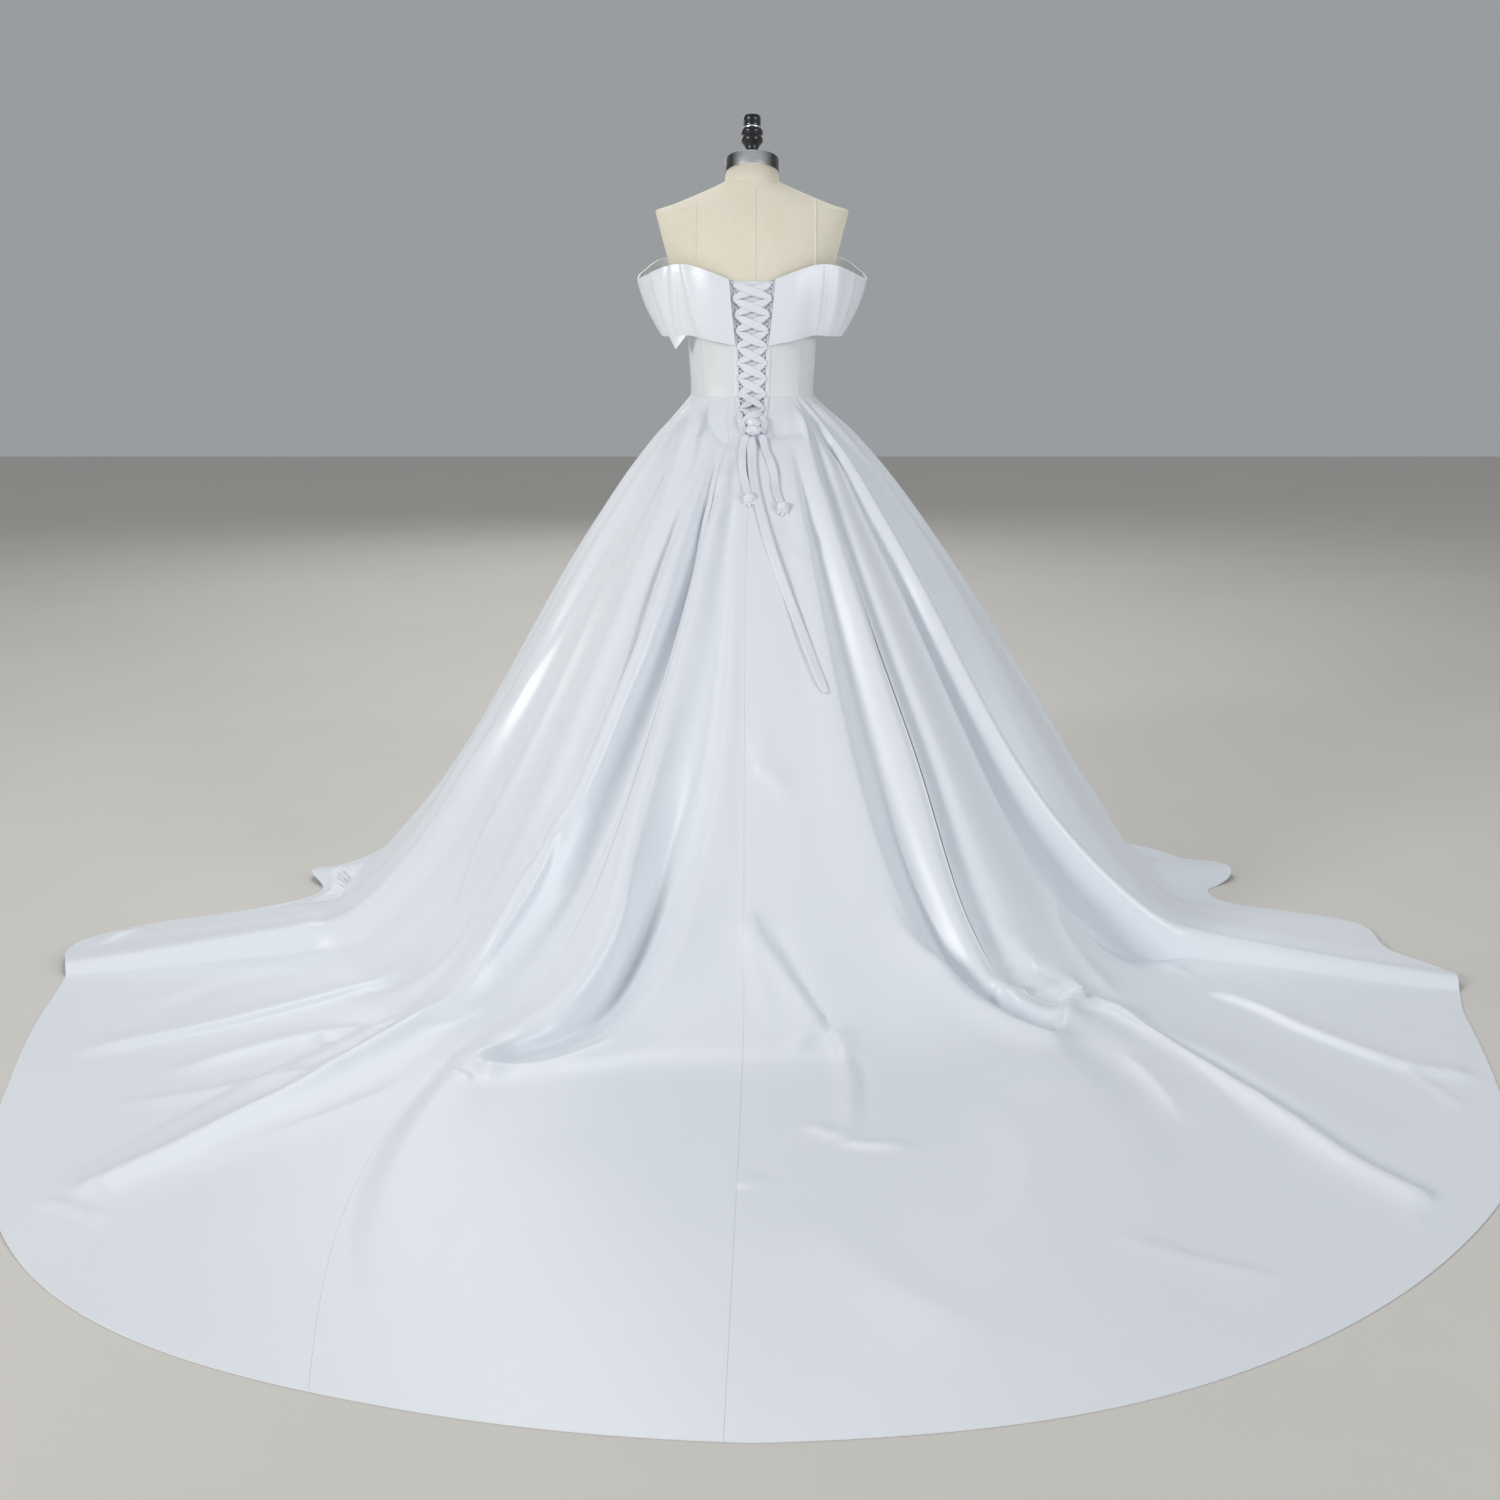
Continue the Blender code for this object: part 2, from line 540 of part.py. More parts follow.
def add_form(looks, collection):
    rings = []
    for ring in FORM_RINGS:
        line = []
        for column in range(FORM_COLUMNS):
            point = form_point(ring.height, -360 * column / FORM_COLUMNS)
            cut_height, cut_width, widening = ARM_CUT
            if ring.height >= cut_height:
                limit = cut_width + widening * (ring.height - cut_height)
                point.x = min(max(point.x, -limit), limit)
            line.append(point)
        rings.append(line)
    top = []
    for column in range(FORM_COLUMNS):
        turn = -2 * math.pi * column / FORM_COLUMNS
        x, y = NECK_RADIUS * math.sin(turn), NECK_RADIUS * math.cos(turn)
        top.append(Vector((x, y * math.cos(NECK_TILT), NECK_HEIGHT + y * math.sin(NECK_TILT))))
    rings.append(top)
    add_loft("form_torso", rings, looks["linen"], collection)

    tilt = Matrix.Rotation(NECK_TILT, 4, "X")
    neck = Matrix.Translation((0, 0, NECK_HEIGHT)) @ tilt
    bpy.ops.mesh.primitive_cylinder_add(
        vertices=28, radius=NECK_RADIUS, depth=PLATE_THICKNESS
    )
    plate = bpy.context.object
    plate.name = "form_neck_plate"
    plate.data.materials.append(looks["steel"])
    plate.matrix_world = neck @ Matrix.Translation((0, 0, GAP + PLATE_THICKNESS / 2))
    for owner in list(plate.users_collection):
        owner.objects.unlink(plate)
    collection.objects.link(plate)
    bevel = plate.modifiers.new("Edge", "BEVEL")
    bevel.width = 0.0015
    bevel.segments = 1

    plate_top = neck @ Matrix.Translation((0, 0, GAP + PLATE_THICKNESS))
    knob = add_turned("form_knob", KNOB_PROFILE, looks["black"], collection)
    knob.matrix_world = plate_top
    low, high, bottom, top_edge = KNOB_RING
    ring = [(high, top_edge), (high, bottom), (low, bottom), (low, top_edge)]
    band = add_turned("form_knob_ring", ring, looks["steel"], collection)
    band.matrix_world = plate_top

    base = [(0, 0.052), (0.026, 0.052), (0.030, 0.048), (0.032, 0.030), (0.060, 0.024),
            (BASE_RADIUS - 0.012, 0.016), (BASE_RADIUS, 0.010), (BASE_RADIUS, 0.0), (0, 0.0)]
    add_turned("form_base", base, looks["iron"], collection, steps=28)
    under = FORM_RINGS[0].height - GAP
    pole = [(0, under), (POLE_RADIUS, under), (POLE_RADIUS, 0.052 + GAP), (0, 0.052 + GAP)]
    add_turned("form_pole", pole, looks["steel"], collection, steps=20)


def bodice_top(angle):
    """Height of the bodice's top edge at a ring angle, hidden behind the band."""
    knots = (0, 20, 50, 90, 130, 180)
    return between(knots, (1.228, 1.234, 1.244, 1.214, 1.258, 1.240), min(abs(angle), 180))


def bodice_grid(start, end, columns, out):
    """Rows from the top down; start and end give a ring angle for a height."""
    rows = 10
    grid = []
    for row in range(rows):
        line = []
        for column in range(columns):
            share = column / (columns - 1)
            guess = start(WAIST_HEIGHT) * (1 - share) + end(WAIST_HEIGHT) * share
            top = bodice_top(guess)
            height = top + (WAIST_HEIGHT + GAP - top) * row / (rows - 1)
            angle = start(height) * (1 - share) + end(height) * share
            line.append(form_point(height, angle, out))
        grid.append(line)
    return grid


def add_bodice(material, collection):
    """Back, side and front pieces, each ending half a gap before its seam."""
    seam = math.degrees(GAP / 2 / 0.12)

    def edge(side):
        return lambda height: side * form_angle(height, opening_half(height), CLEARANCE)

    def line(angle):
        return lambda height: angle

    pieces = (
        ("bodice_back_left", edge(1), line(50 - seam), 7),
        ("bodice_side_left", line(50 + seam), line(112 - seam), 8),
        ("bodice_front", line(112 + seam), line(248 - seam), 16),
        ("bodice_side_right", line(-112 + seam), line(-50 - seam), 8),
        ("bodice_back_right", line(-50 + seam), edge(-1), 7),
    )
    for name, start, end, columns in pieces:
        inner = bodice_grid(start, end, columns, CLEARANCE)
        outer = bodice_grid(start, end, columns, CLEARANCE + CLOTH)
        add_wall(name, outer, inner, material, collection)


def add_modesty_panel(material, collection):
    """The strip behind the lacing, between the form and the opening's edges."""
    columns, half = 9, 0.047
    heights = [1.236 - (1.236 - WAIST_HEIGHT) * row / 9 for row in range(10)]
    heights += [WAIST_HEIGHT - 0.008 * row for row in range(1, 8)]
    sides = []
    for out in (-0.0005, -0.0018):
        grid = []
        for height in heights:
            deeper = min(max(WAIST_HEIGHT - height, 0.0) * 0.2, 0.003)
            grid.append([
                back_point(half * (2 * column / (columns - 1) - 1), height, out - deeper)
                for column in range(columns)
            ])
        sides.append(grid)
    add_wall("modesty_panel", *sides, material, collection)


def band_point(place, down, out, side):
    """A point of the band: place counts stations, down goes from 0 at the top to 1."""
    knots = list(range(len(BAND)))
    top = Vector([between(knots, [s[i] for s in BAND], place) for i in range(3)])
    low = Vector([between(knots, [s[i + 3] for s in BAND], place) for i in range(3)])
    step = 0.05
    before, after = max(place - step, 0), min(place + step, len(BAND) - 1)
    along = Vector([
        between(knots, [s[i] for s in BAND], after) - between(knots, [s[i] for s in BAND], before)
        for i in range(3)
    ])
    outward = Vector((along.y, -along.x, 0)).normalized() * -1
    swell = BAND_BULGE * math.sin(math.pi * down)
    point = top.lerp(low, down) + outward * (swell + out)
    return Vector((side * point.x, point.y, point.z))


def band_grid(start, end, columns, out, side):
    rows = 5
    return [
        [
            band_point(start + (end - start) * column / (columns - 1), row / (rows - 1), out, side)
            for column in range(columns)
        ]
        for row in range(rows)
    ]


def add_band(material, collection):
    """The fold-over band: a back piece and a sleeve on each side, and one front."""
    seam = GAP / 2 / 0.05
    last = len(BAND) - 1
    for word, side in (("left", 1), ("right", -1)):
        for part, start, end in BAND_CUTS:
            grids = [
                band_grid(start + (seam if start else 0), end - seam, 10, out, side)
                for out in (BAND_THICKNESS, 0)
            ]
            if side < 0:
                grids = [[list(reversed(row)) for row in grid] for grid in grids]
            add_wall(f"band_{part}_{word}", *grids, material, collection)
    fronts = []
    for out in (BAND_THICKNESS, 0):
        left = band_grid(BAND_CUTS[1][2] + seam, last, 8, out, 1)
        right = band_grid(BAND_CUTS[1][2] + seam, last, 8, out, -1)
        fronts.append([a + list(reversed(b))[1:] for a, b in zip(left, right)])
    add_wall("band_front", *fronts, material, collection)


def add_band_tip(material, collection):
    """The pointed end that hangs under the band's left side."""
    low = band_point(3.4, 1.0, BAND_THICKNESS, 1)
    near = band_point(2.25, 1.0, BAND_THICKNESS, 1)
    tip = (low + near) / 2 + Vector((0.004, 0.004, -0.026))
    drop = Vector((0, 0, -2.5 * GAP))
    outline = [near + drop, tip, low + drop]
    inward = Vector((-0.0012, -0.0012, 0))
    inner = [point + inward for point in outline]
    faces = [(0, 2, 1), (3, 4, 5), (0, 4, 3), (0, 1, 4), (1, 5, 4), (1, 2, 5), (2, 3, 5), (2, 0, 3)]
    add_mesh("band_tip", outline + inner, faces, material, collection)


def add_ribbon(name, path, normals, widths, thickness, material, collection):
    """A flat ribbon along a path, from its underside up."""
    outer, inner = [], []
    for i, (point, normal, width) in enumerate(zip(path, normals, widths)):
        along = (path[min(i + 1, len(path) - 1)] - path[max(i - 1, 0)]).normalized()
        across = along.cross(normal).normalized() * width / 2
        outer.append([point - across + normal * thickness, point + across + normal * thickness])
        inner.append([point - across, point + across])
    return add_wall(name, outer, inner, material, collection)


def surface_normal(x, height):
    step = 0.002
    across = back_point(x + step, height, 0) - back_point(x - step, height, 0)
    down = back_point(x, height - step, 0) - back_point(x, height + step, 0)
    return across.cross(down).normalized()


def lace_route(side):
    """Where one lace runs over the back: straight crossings and a small turn in each loop."""
    pitch = (LACE_TOP - LACE_BOTTOM) / LACE_CROSSINGS
    spots = []
    for crossing in range(LACE_CROSSINGS):
        top = LACE_TOP - pitch * crossing
        start = side * (1 if crossing % 2 == 0 else -1)
        reach = opening_half(top - pitch / 2) - LACE_INSET
        for step in range(5):
            share = step / 4
            x = start * reach * (1 - 2 * share)
            height = top - LACE_TURN - (pitch - 2 * LACE_TURN) * share
            spots.append((x, height, math.sin(math.pi * share)))
        turn_reach = opening_half(top - pitch) - LACE_INSET
        if crossing < LACE_CROSSINGS - 1:
            spots.append((-start * (turn_reach + LACE_TURN), top - pitch, 0.0))
    return spots


def add_laces(material, collection):
    for name, side, out in (("lace_under", 1, 0.0048), ("lace_over", -1, 0.0068)):
        path, normals, widths = [], [], []
        for x, height, middle in lace_route(side):
            normals.append(surface_normal(x, height))
            path.append(back_point(x, height, 0) + normals[-1] * out)
            widths.append(0.0032 + (LACE_WIDTH - 0.0032) * middle)
        add_ribbon(name, path, normals, widths, LACE_THICKNESS, material, collection)


def add_loop_tapes(material, collection):
    """The strip of loops along each edge of the opening."""
    rows = 40
    for word, side in (("left", 1), ("right", -1)):
        outer, inner = [], []
        for row in range(rows):
            height = 1.232 + (0.972 - 1.232) * row / (rows - 1)
            wave = 0.0016 * math.cos(math.pi * row)
            near = opening_half(height) + 0.0008 + wave * 0.4
            far = near + TAPE_WIDTH
            line_out, line_in = [], []
            for x in (near, far) if side > 0 else (far, near):
                normal = surface_normal(side * x, height)
                base = back_point(side * x, height, 0) + normal * (CLOTH + TAPE_LIFT)
                line_in.append(base)
                line_out.append(base + normal * LACE_THICKNESS)
            outer.append(line_out)
            inner.append(line_in)
        add_wall(f"loop_tape_{word}", outer, inner, material, collection)


def add_knot(name, centre, size, material, collection):
    """A soft lump from a cube cage."""
    bpy.ops.mesh.primitive_cube_add(size=1, location=(0, 0, 0))
    knot = bpy.context.object
    knot.name = name
    knot.data.materials.append(material)
    knot.data.transform(Matrix.Diagonal((*size, 1)))
    knot.location = centre
    for owner in list(knot.users_collection):
        owner.objects.unlink(knot)
    collection.objects.link(knot)
    round_off = knot.modifiers.new("Round", "SUBSURF")
    round_off.levels = 2
    round_off.render_levels = 2
    return knot


def surface_of(items):
    """The faces of some objects, as built, for distances."""
    graph = bpy.context.evaluated_depsgraph_get()
    points, faces = [], []
    for item in items:
        built = item.evaluated_get(graph)
        mesh = built.to_mesh()
        first = len(points)
        points.extend(built.matrix_world @ vertex.co for vertex in mesh.vertices)
        faces.extend([first + i for i in polygon.vertices] for polygon in mesh.polygons)
        built.to_mesh_clear()
    return BVHTree.FromPolygons(points, faces)


def tail_path(name, skirt):
    """Points of a lace end, lying on the skirt just clear of it, with the skirt's normal at each."""
    route = TAIL_ROUTES[name]
    clear = TAIL_DIAMETERS[name] / 2 + TAIL_LIFT
    knots = list(range(len(route)))
    steps = 4 * (len(route) - 1)
    path = []
    for i in range(steps + 1):
        at = i * (len(route) - 1) / steps
        azimuth = between(knots, [spot[0] for spot in route], at)
        level = between(knots, [spot[1] for spot in route], at)
        place = place_at(azimuth, level)
        here = skirt_point(place, level)
        beside = 0.05 if place < 1 else -0.05
        along = (skirt_point(place + beside, level) - here) * beside
        down = skirt_point(place, level + 0.01) - skirt_point(place, level - 0.01)
        normal = along.cross(down).normalized()
        point = here + normal * (CLOTH + clear + 0.004)
        for _ in range(4):
            point -= normal * (skirt.find_nearest(point)[3] - clear)
        path.append((point, normal))
    return path


def seat(item, surface, direction):
    """Moves an object along a direction until its nearest corner is a gap away from a surface."""
    graph = bpy.context.evaluated_depsgraph_get()
    for _ in range(4):
        bpy.context.view_layer.update()
        built = item.evaluated_get(graph)
        points = [built.matrix_world @ vertex.co for vertex in built.data.vertices]
        nearest = min(surface.find_nearest(point)[3] for point in points)
        item.location += direction * (nearest - TAIL_LIFT)


def add_tails(knot, looks, collection):
    skirt = surface_of([bpy.data.objects[panel] for panel in PANELS])
    lacing_knot = surface_of([knot])
    for name in TAIL_ROUTES:
        curve = bpy.data.curves.new(name, "CURVE")
        curve.dimensions = "3D"
        curve.bevel_depth = TAIL_DIAMETERS[name] / 2
        curve.bevel_resolution = 2
        curve.use_fill_caps = True
        path = tail_path(name, skirt)
        points = [point for point, _ in path]
        aim = knot.location.copy()
        aim.x = knot.location.x * 0.3 + points[1].x * 0.7
        toward = (aim - points[1]).normalized()
        points[0] = lacing_knot.ray_cast(points[1], toward)[0] - toward * TAIL_START_GAP
        spline = curve.splines.new("POLY")
        spline.points.add(len(points) - 1)
        for spot, point in zip(spline.points, points):
            spot.co = (*point, 1)
        curve.materials.append(looks["ribbon"])
        tail = bpy.data.objects.new(name, curve)
        collection.objects.link(tail)
        if name not in END_KNOTS:
            continue
        size, (end, normal) = END_KNOTS[name], path[-1]
        onward = (end - points[-2]).normalized()
        across = normal.cross(onward).normalized()
        turn = Matrix((across, onward.cross(across), onward)).transposed()
        lump = add_knot(name + "_knot", end + onward * size * 0.6 + normal * 0.008,
                        (size * 0.8, size * 0.65, size), looks["ribbon"], collection)
        lump.rotation_euler = turn.to_euler()
        seat(lump, skirt, -normal)
        seat(lump, surface_of([tail]), -onward)
        seat(lump, skirt, -normal)


def main():
    clear_scene()
    dress = new_collection("Wedding dress on a form")
    looks = {
        "satin": new_material("Satin", (0.90, 0.92, 0.95), 0.35),
        "bodice": new_material("Bodice satin", (0.86, 0.87, 0.88), 0.45),
        "ribbon": new_material("Ribbon", (0.90, 0.91, 0.95), 0.4),
        "linen": new_material("Linen", (0.78, 0.73, 0.64), 0.9),
        "steel": new_material("Brushed steel", (0.55, 0.54, 0.52), 0.35, 1.0),
        "black": new_material("Black plastic", (0.03, 0.03, 0.035), 0.35),
        "iron": new_material("Painted iron", (0.05, 0.05, 0.05), 0.5, 0.6),
    }
    add_form(looks, dress)
    add_bodice(looks["bodice"], dress)
    add_modesty_panel(looks["satin"], dress)
    add_band(looks["satin"], dress)
    add_band_tip(looks["satin"], dress)
    add_loop_tapes(looks["ribbon"], dress)
    add_laces(looks["ribbon"], dress)
    knot = add_knot("lace_knot", back_point(-0.003, 0.953, 0.012), (0.044, 0.020, 0.024), looks["ribbon"], dress)
    bpy.context.view_layer.update()
    add_skirt(looks["satin"], dress)
    add_tails(knot, looks, dress)


main()
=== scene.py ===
"""Looks for a white satin wedding dress with an off-shoulder band, a laced back and a long train,
on a linen dress form. Metres, +Z up, front towards -Y, train towards +Y, wearer's left at +X.
Azimuths are in degrees from +Y, growing towards +X.
"""

import math
from collections import namedtuple

import bpy
import numpy as np
from mathutils import Matrix, Vector


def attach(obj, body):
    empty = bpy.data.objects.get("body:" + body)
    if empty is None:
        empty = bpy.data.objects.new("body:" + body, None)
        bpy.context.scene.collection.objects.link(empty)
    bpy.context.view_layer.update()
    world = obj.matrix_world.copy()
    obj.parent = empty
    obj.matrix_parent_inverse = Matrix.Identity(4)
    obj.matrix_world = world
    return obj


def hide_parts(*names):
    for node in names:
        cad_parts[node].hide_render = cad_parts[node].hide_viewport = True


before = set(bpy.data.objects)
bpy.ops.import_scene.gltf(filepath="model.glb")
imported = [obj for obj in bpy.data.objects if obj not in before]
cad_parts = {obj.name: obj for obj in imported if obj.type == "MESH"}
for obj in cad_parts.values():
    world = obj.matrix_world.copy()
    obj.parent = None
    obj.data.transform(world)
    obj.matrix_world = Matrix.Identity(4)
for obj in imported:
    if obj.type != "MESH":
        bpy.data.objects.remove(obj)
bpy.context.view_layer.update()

# Camera, at the photograph's angle
CAMERA_PLACE = (0.004, 3.48, 1.165)
CAMERA_TILT = 76.12
PHOTO_SIDE, FOCAL_PIXELS, SENSOR = 1500, 1740, 36.0


def add_camera():
    bpy.ops.object.camera_add(
        location=CAMERA_PLACE, rotation=(math.radians(CAMERA_TILT), 0, math.radians(180))
    )
    camera = bpy.context.object
    camera.name = "photo_camera"
    camera.data.sensor_width = SENSOR
    camera.data.lens = FOCAL_PIXELS / PHOTO_SIDE * SENSOR
    camera.data.clip_end = 60
    bpy.context.scene.camera = camera


add_camera()

# Sizes shared with the solids
WAIST_HEIGHT = 1.022
FLOOR_REACH = 0.87
HANG_LENGTH = 1.28
CLEARANCE = 0.0032  # from the form to the cloth
GAP = 0.0003  # at a seam
SATIN = 0.0016  # thickness of the satin as it shows

Ring = namedtuple("Ring", "height half_width front back")
FORM_RINGS = (
    Ring(0.700, 0.164, 0.108, 0.116), Ring(0.790, 0.170, 0.114, 0.126), Ring(0.880, 0.156, 0.108, 0.114),
    Ring(0.965, 0.127, 0.094, 0.089), Ring(1.022, 0.1154, 0.086, 0.079), Ring(1.075, 0.1162, 0.091, 0.080),
    Ring(1.127, 0.1195, 0.103, 0.086), Ring(1.180, 0.1315, 0.121, 0.094), Ring(1.225, 0.1480, 0.130, 0.099),
    Ring(1.266, 0.1620, 0.122, 0.102), Ring(1.310, 0.1770, 0.104, 0.098), Ring(1.345, 0.1850, 0.086, 0.089),
    Ring(1.366, 0.1880, 0.074, 0.079), Ring(1.380, 0.1490, 0.064, 0.071), Ring(1.395, 0.1110, 0.057, 0.063),
    Ring(1.410, 0.0750, 0.052, 0.056), Ring(1.421, 0.0520, 0.049, 0.050),
)
ROUNDNESS = 2.2  # of a ring, where 2 is an ellipse
ARM_CUT_HEIGHT, ARM_CUT_REACH, ARM_CUT_WIDENING = 1.266, 0.158, 0.26
TORSO_COLUMNS, TORSO_BOTTOM, SHOULDER_HEIGHT, NECK_START = 96, 0.70, 1.36, 1.421
NECK_RADIUS, NECK_HEIGHT, NECK_TILT = 0.0495, 1.4407, math.radians(16)
PLATE_THICKNESS, PLATE_RADIUS = 0.022, 0.0507

Hem = namedtuple("Hem", "azimuth reach")
HEM = (
    Hem(0, 1.853), Hem(12, 1.836), Hem(24, 1.812), Hem(32, 1.757), Hem(42, 1.632),
    Hem(51, 1.505), Hem(61, 1.402), Hem(68, 1.350), Hem(75.5, 1.336), Hem(79.5, 1.222),
    Hem(83, 1.030), Hem(87, 0.925), Hem(91, 0.905), Hem(95.5, 0.950), Hem(99, 0.938),
    Hem(104, 0.900), Hem(115, 0.885), Hem(150, 0.890), Hem(180, 0.900), Hem(210, 0.890),
    Hem(245, 0.895), Hem(252, 0.955), Hem(258, 0.990), Hem(263, 1.038), Hem(266, 1.025),
    Hem(270, 0.958), Hem(275, 0.990), Hem(278, 1.130), Hem(280.5, 1.222), Hem(287, 1.262),
    Hem(290.5, 1.360), Hem(299, 1.404), Hem(309, 1.505), Hem(318, 1.630), Hem(327.5, 1.712),
    Hem(339, 1.794), Hem(348, 1.836), Hem(360, 1.853),
)

# Fold lines down the skirt: azimuth at each level, then rise over the plain cone in millimetres
LEVELS = (0.0, 0.09, 0.24, 0.57, 0.90, 1.10, 2.0)
FLOOR_LEVEL = 1.1
PLEATED_FROM, PLEAT_SHARE = 40, 0.5
Fold = namedtuple("Fold", "name waist upper middle lower floor hem up mid low flat edge")
LEFT_FOLDS = (
    Fold("centre seam", 1, 2, 1.5, 1, 1, 1, 0, 3, 5, 2, 0),
    Fold("centre swell", 6, 5.5, 5.5, 12, 17, 6, 1, 9, 16, 6, 0),
    Fold("soft trough", 9, 8.5, 10, 17, 22, 9, -4, -20, -32, 0, 0),
    Fold("long swell", 13, 14, 18.5, 20.5, 27, 13, 10, 22, 30, 16, 0),
    Fold("left gore seam", 17, 17, 21, 25.5, 29.5, 15.8, 2, 8, 12, 6, 0),
    Fold("dark trough", 21, 20.5, 24.2, 31, 34, 24, -20, -32, -18, 0, 0),
    Fold("thin ridge", 26, 24, 30, 36, 39.5, 36, 12, 19, 24, 12, 4),
    Fold("left pleat line", 42, 31, 32, 38, 41.5, 38, -5, -8, -6, 0, 0),
    Fold("pale panel", 45, 37, 38.5, 41, 46, 46, 7, 12, 9, 3, 0),
    Fold("side trough", 48, 47, 49, 46.5, 52, 54, -18, -36, -34, 0, 0),
    Fold("ridge foot", 55, 55, 58, 60, 65, 68.2, -8, -26, -18, 0, 0),
    Fold("left ridge", 65, 63, 66, 66.5, 67, 70, 2, 2, 14, 44, 18),
    Fold("train corner", 72, 71, 73, 73.5, 74.5, 75.5, -16, -26, -14, 18, 8),
    Fold("corner step", 78, 78, 79, 79, 79.5, 79.5, -6, -20, -10, 12, 4),
    Fold("side bay", 84, 84, 84.5, 84, 84, 83.5, -20, -36, -34, 0, 0),
    Fold("left side seam", 90, 90, 90, 90, 89.5, 89, -12, -26, -26, 4, 0),
    Fold("left ear", 97, 97, 97, 96, 95.5, 95.5, -22, -38, -30, 14, 16),
    Fold("ear end", 104, 104, 104, 104, 103, 102.5, -8, -16, -8, 2, 0),
)
RIGHT_FOLDS = (
    Fold("right ear end", -103, -103, -103, -104, -105, -105, 16, 26, 12, 3, 0),
    Fold("right ear", -97, -97, -97, -97, -97, -97, -6, 16, 4, 20, 18),
    Fold("right side seam", -90, -90, -89, -90, -90, -90.5, 16, 30, 10, 3, 0),
    Fold("right bay", -84, -84, -83, -84, -84.5, -84.5, -4, 24, 2, 2, 2),
    Fold("right corner step", -78, -78, -77, -78, -79, -79.5, 8, 24, 2, 12, 6),
    Fold("outer crest", -71, -71, -69, -71, -73, -73, 16, 26, 12, 18, 8),
    Fold("outer trough", -63, -63, -59, -64, -68.5, -70, -18, -28, -16, 8, 6),
    Fold("right ridge", -58, -53, -54.2, -61.5, -64.6, -67.5, 16, 22, 36, 42, 18),
    Fold("deep trough", -54, -49.4, -50.6, -58.8, -62.2, -65.4, -28, -58, -58, 0, 0),
    Fold("small crease", -52, -45.5, -46.5, -48.5, -53, -51, 0, 4, 2, 5, 2),
    Fold("right panel", -50, -38, -38, -39, -46.5, -42, 8, 14, 12, 5, 2),
    Fold("right pleat line", -47, -32.4, -33.0, -32.2, -42, -35.4, -5, -10, -7, 7, 3),
    Fold("right gore seam", -44, -31.2, -31.8, -31.0, -40.8, -30, 2, 4, 10, 1, 0),
    Fold("right crest", -38, -29.4, -29.9, -29.6, -37.5, -26, 6, 9, 14, 8, 0),
    Fold("right trough", -30, -23, -24, -27, -33.5, -20, -10, -19, -22, 0, 0),
    Fold("inner swell", -24, -19, -18.5, -23.5, -30, -16, 8, 14, 16, 10, 0),
    Fold("centre panel", -12, -11, -10, -12, -15, -9, 0, 4, 6, 2, 0),
)
FRONT_FOLDS, FRONT_START, FRONT_END = 20, 110.0, 250.0
FRONT_CREST, FRONT_TROUGH = (10, 17, 15, 4, 3), (-9, -13, -9, 0, 0)

# How the plain skirt hangs: puff under the waist, swell and sag on the way down, slope past the floor,
# how softly it meets the floor, more softly where a train starts, and how far it sinks there
PUFF, PUFF_START = 0.010, 0.02
SWELL, SAG, PAST_FLOOR, SINK = 0.038, 0.012, 0.72, 0.004
SOFTNESS, TRAIN_SOFTNESS, TRAIN_START = 0.012, 0.045, 0.3
WAIST_FADE = 0.03

# Skirt panels: the seams that bound each, columns for each stretch between folds, rows, flat cut
Panel = namedtuple("Panel", "name start end columns rows width length area")
PANELS = (
    Panel("skirt_back_left", "centre seam", "left gore seam", (16, 16, 20, 22), 400, 0.56, 2.36, 0.75),
    Panel("skirt_side_back_left", "left gore seam", "left side seam",
          (18, 30, 20, 18, 18, 12, 12, 10, 6, 6, 6), 310, 2.26, 2.32, 1.67),
    Panel("skirt_side_front_left", "left side seam", "front pleat 4", (11,) * 7, 110, 0.83, 1.37, 0.60),
    Panel("skirt_front", "front pleat 4", "front pleat 15", (9,) * 11, 100, 1.27, 1.32, 0.98),
    Panel("skirt_side_front_right", "front pleat 15", "right side seam", (11,) * 7, 110, 0.87, 1.42, 0.64),
    Panel("skirt_side_back_right", "right side seam", "right gore seam",
          (6, 6, 10, 12, 16, 24, 22, 20, 22, 14), 310, 1.78, 2.27, 1.34),
    Panel("skirt_back_right", "right gore seam", "centre seam end",
          (14, 20, 24, 24, 24), 400, 1.00, 2.33, 1.21),
)
OPENING = ((1.300, 0.0420), (1.238, 0.0390), (1.118, 0.0262), (1.022, 0.0240), (0.985, 0.0190),
           (0.950, 0.0))
OPENING_SPREAD = 50
CREST_ROUND, CREST_SHARPNESS = 0.0022, 1.35
CREASE_STEPS, CREASE_ROOM = 26, 3.5
MILLIMETRES = 1000  # in a metre

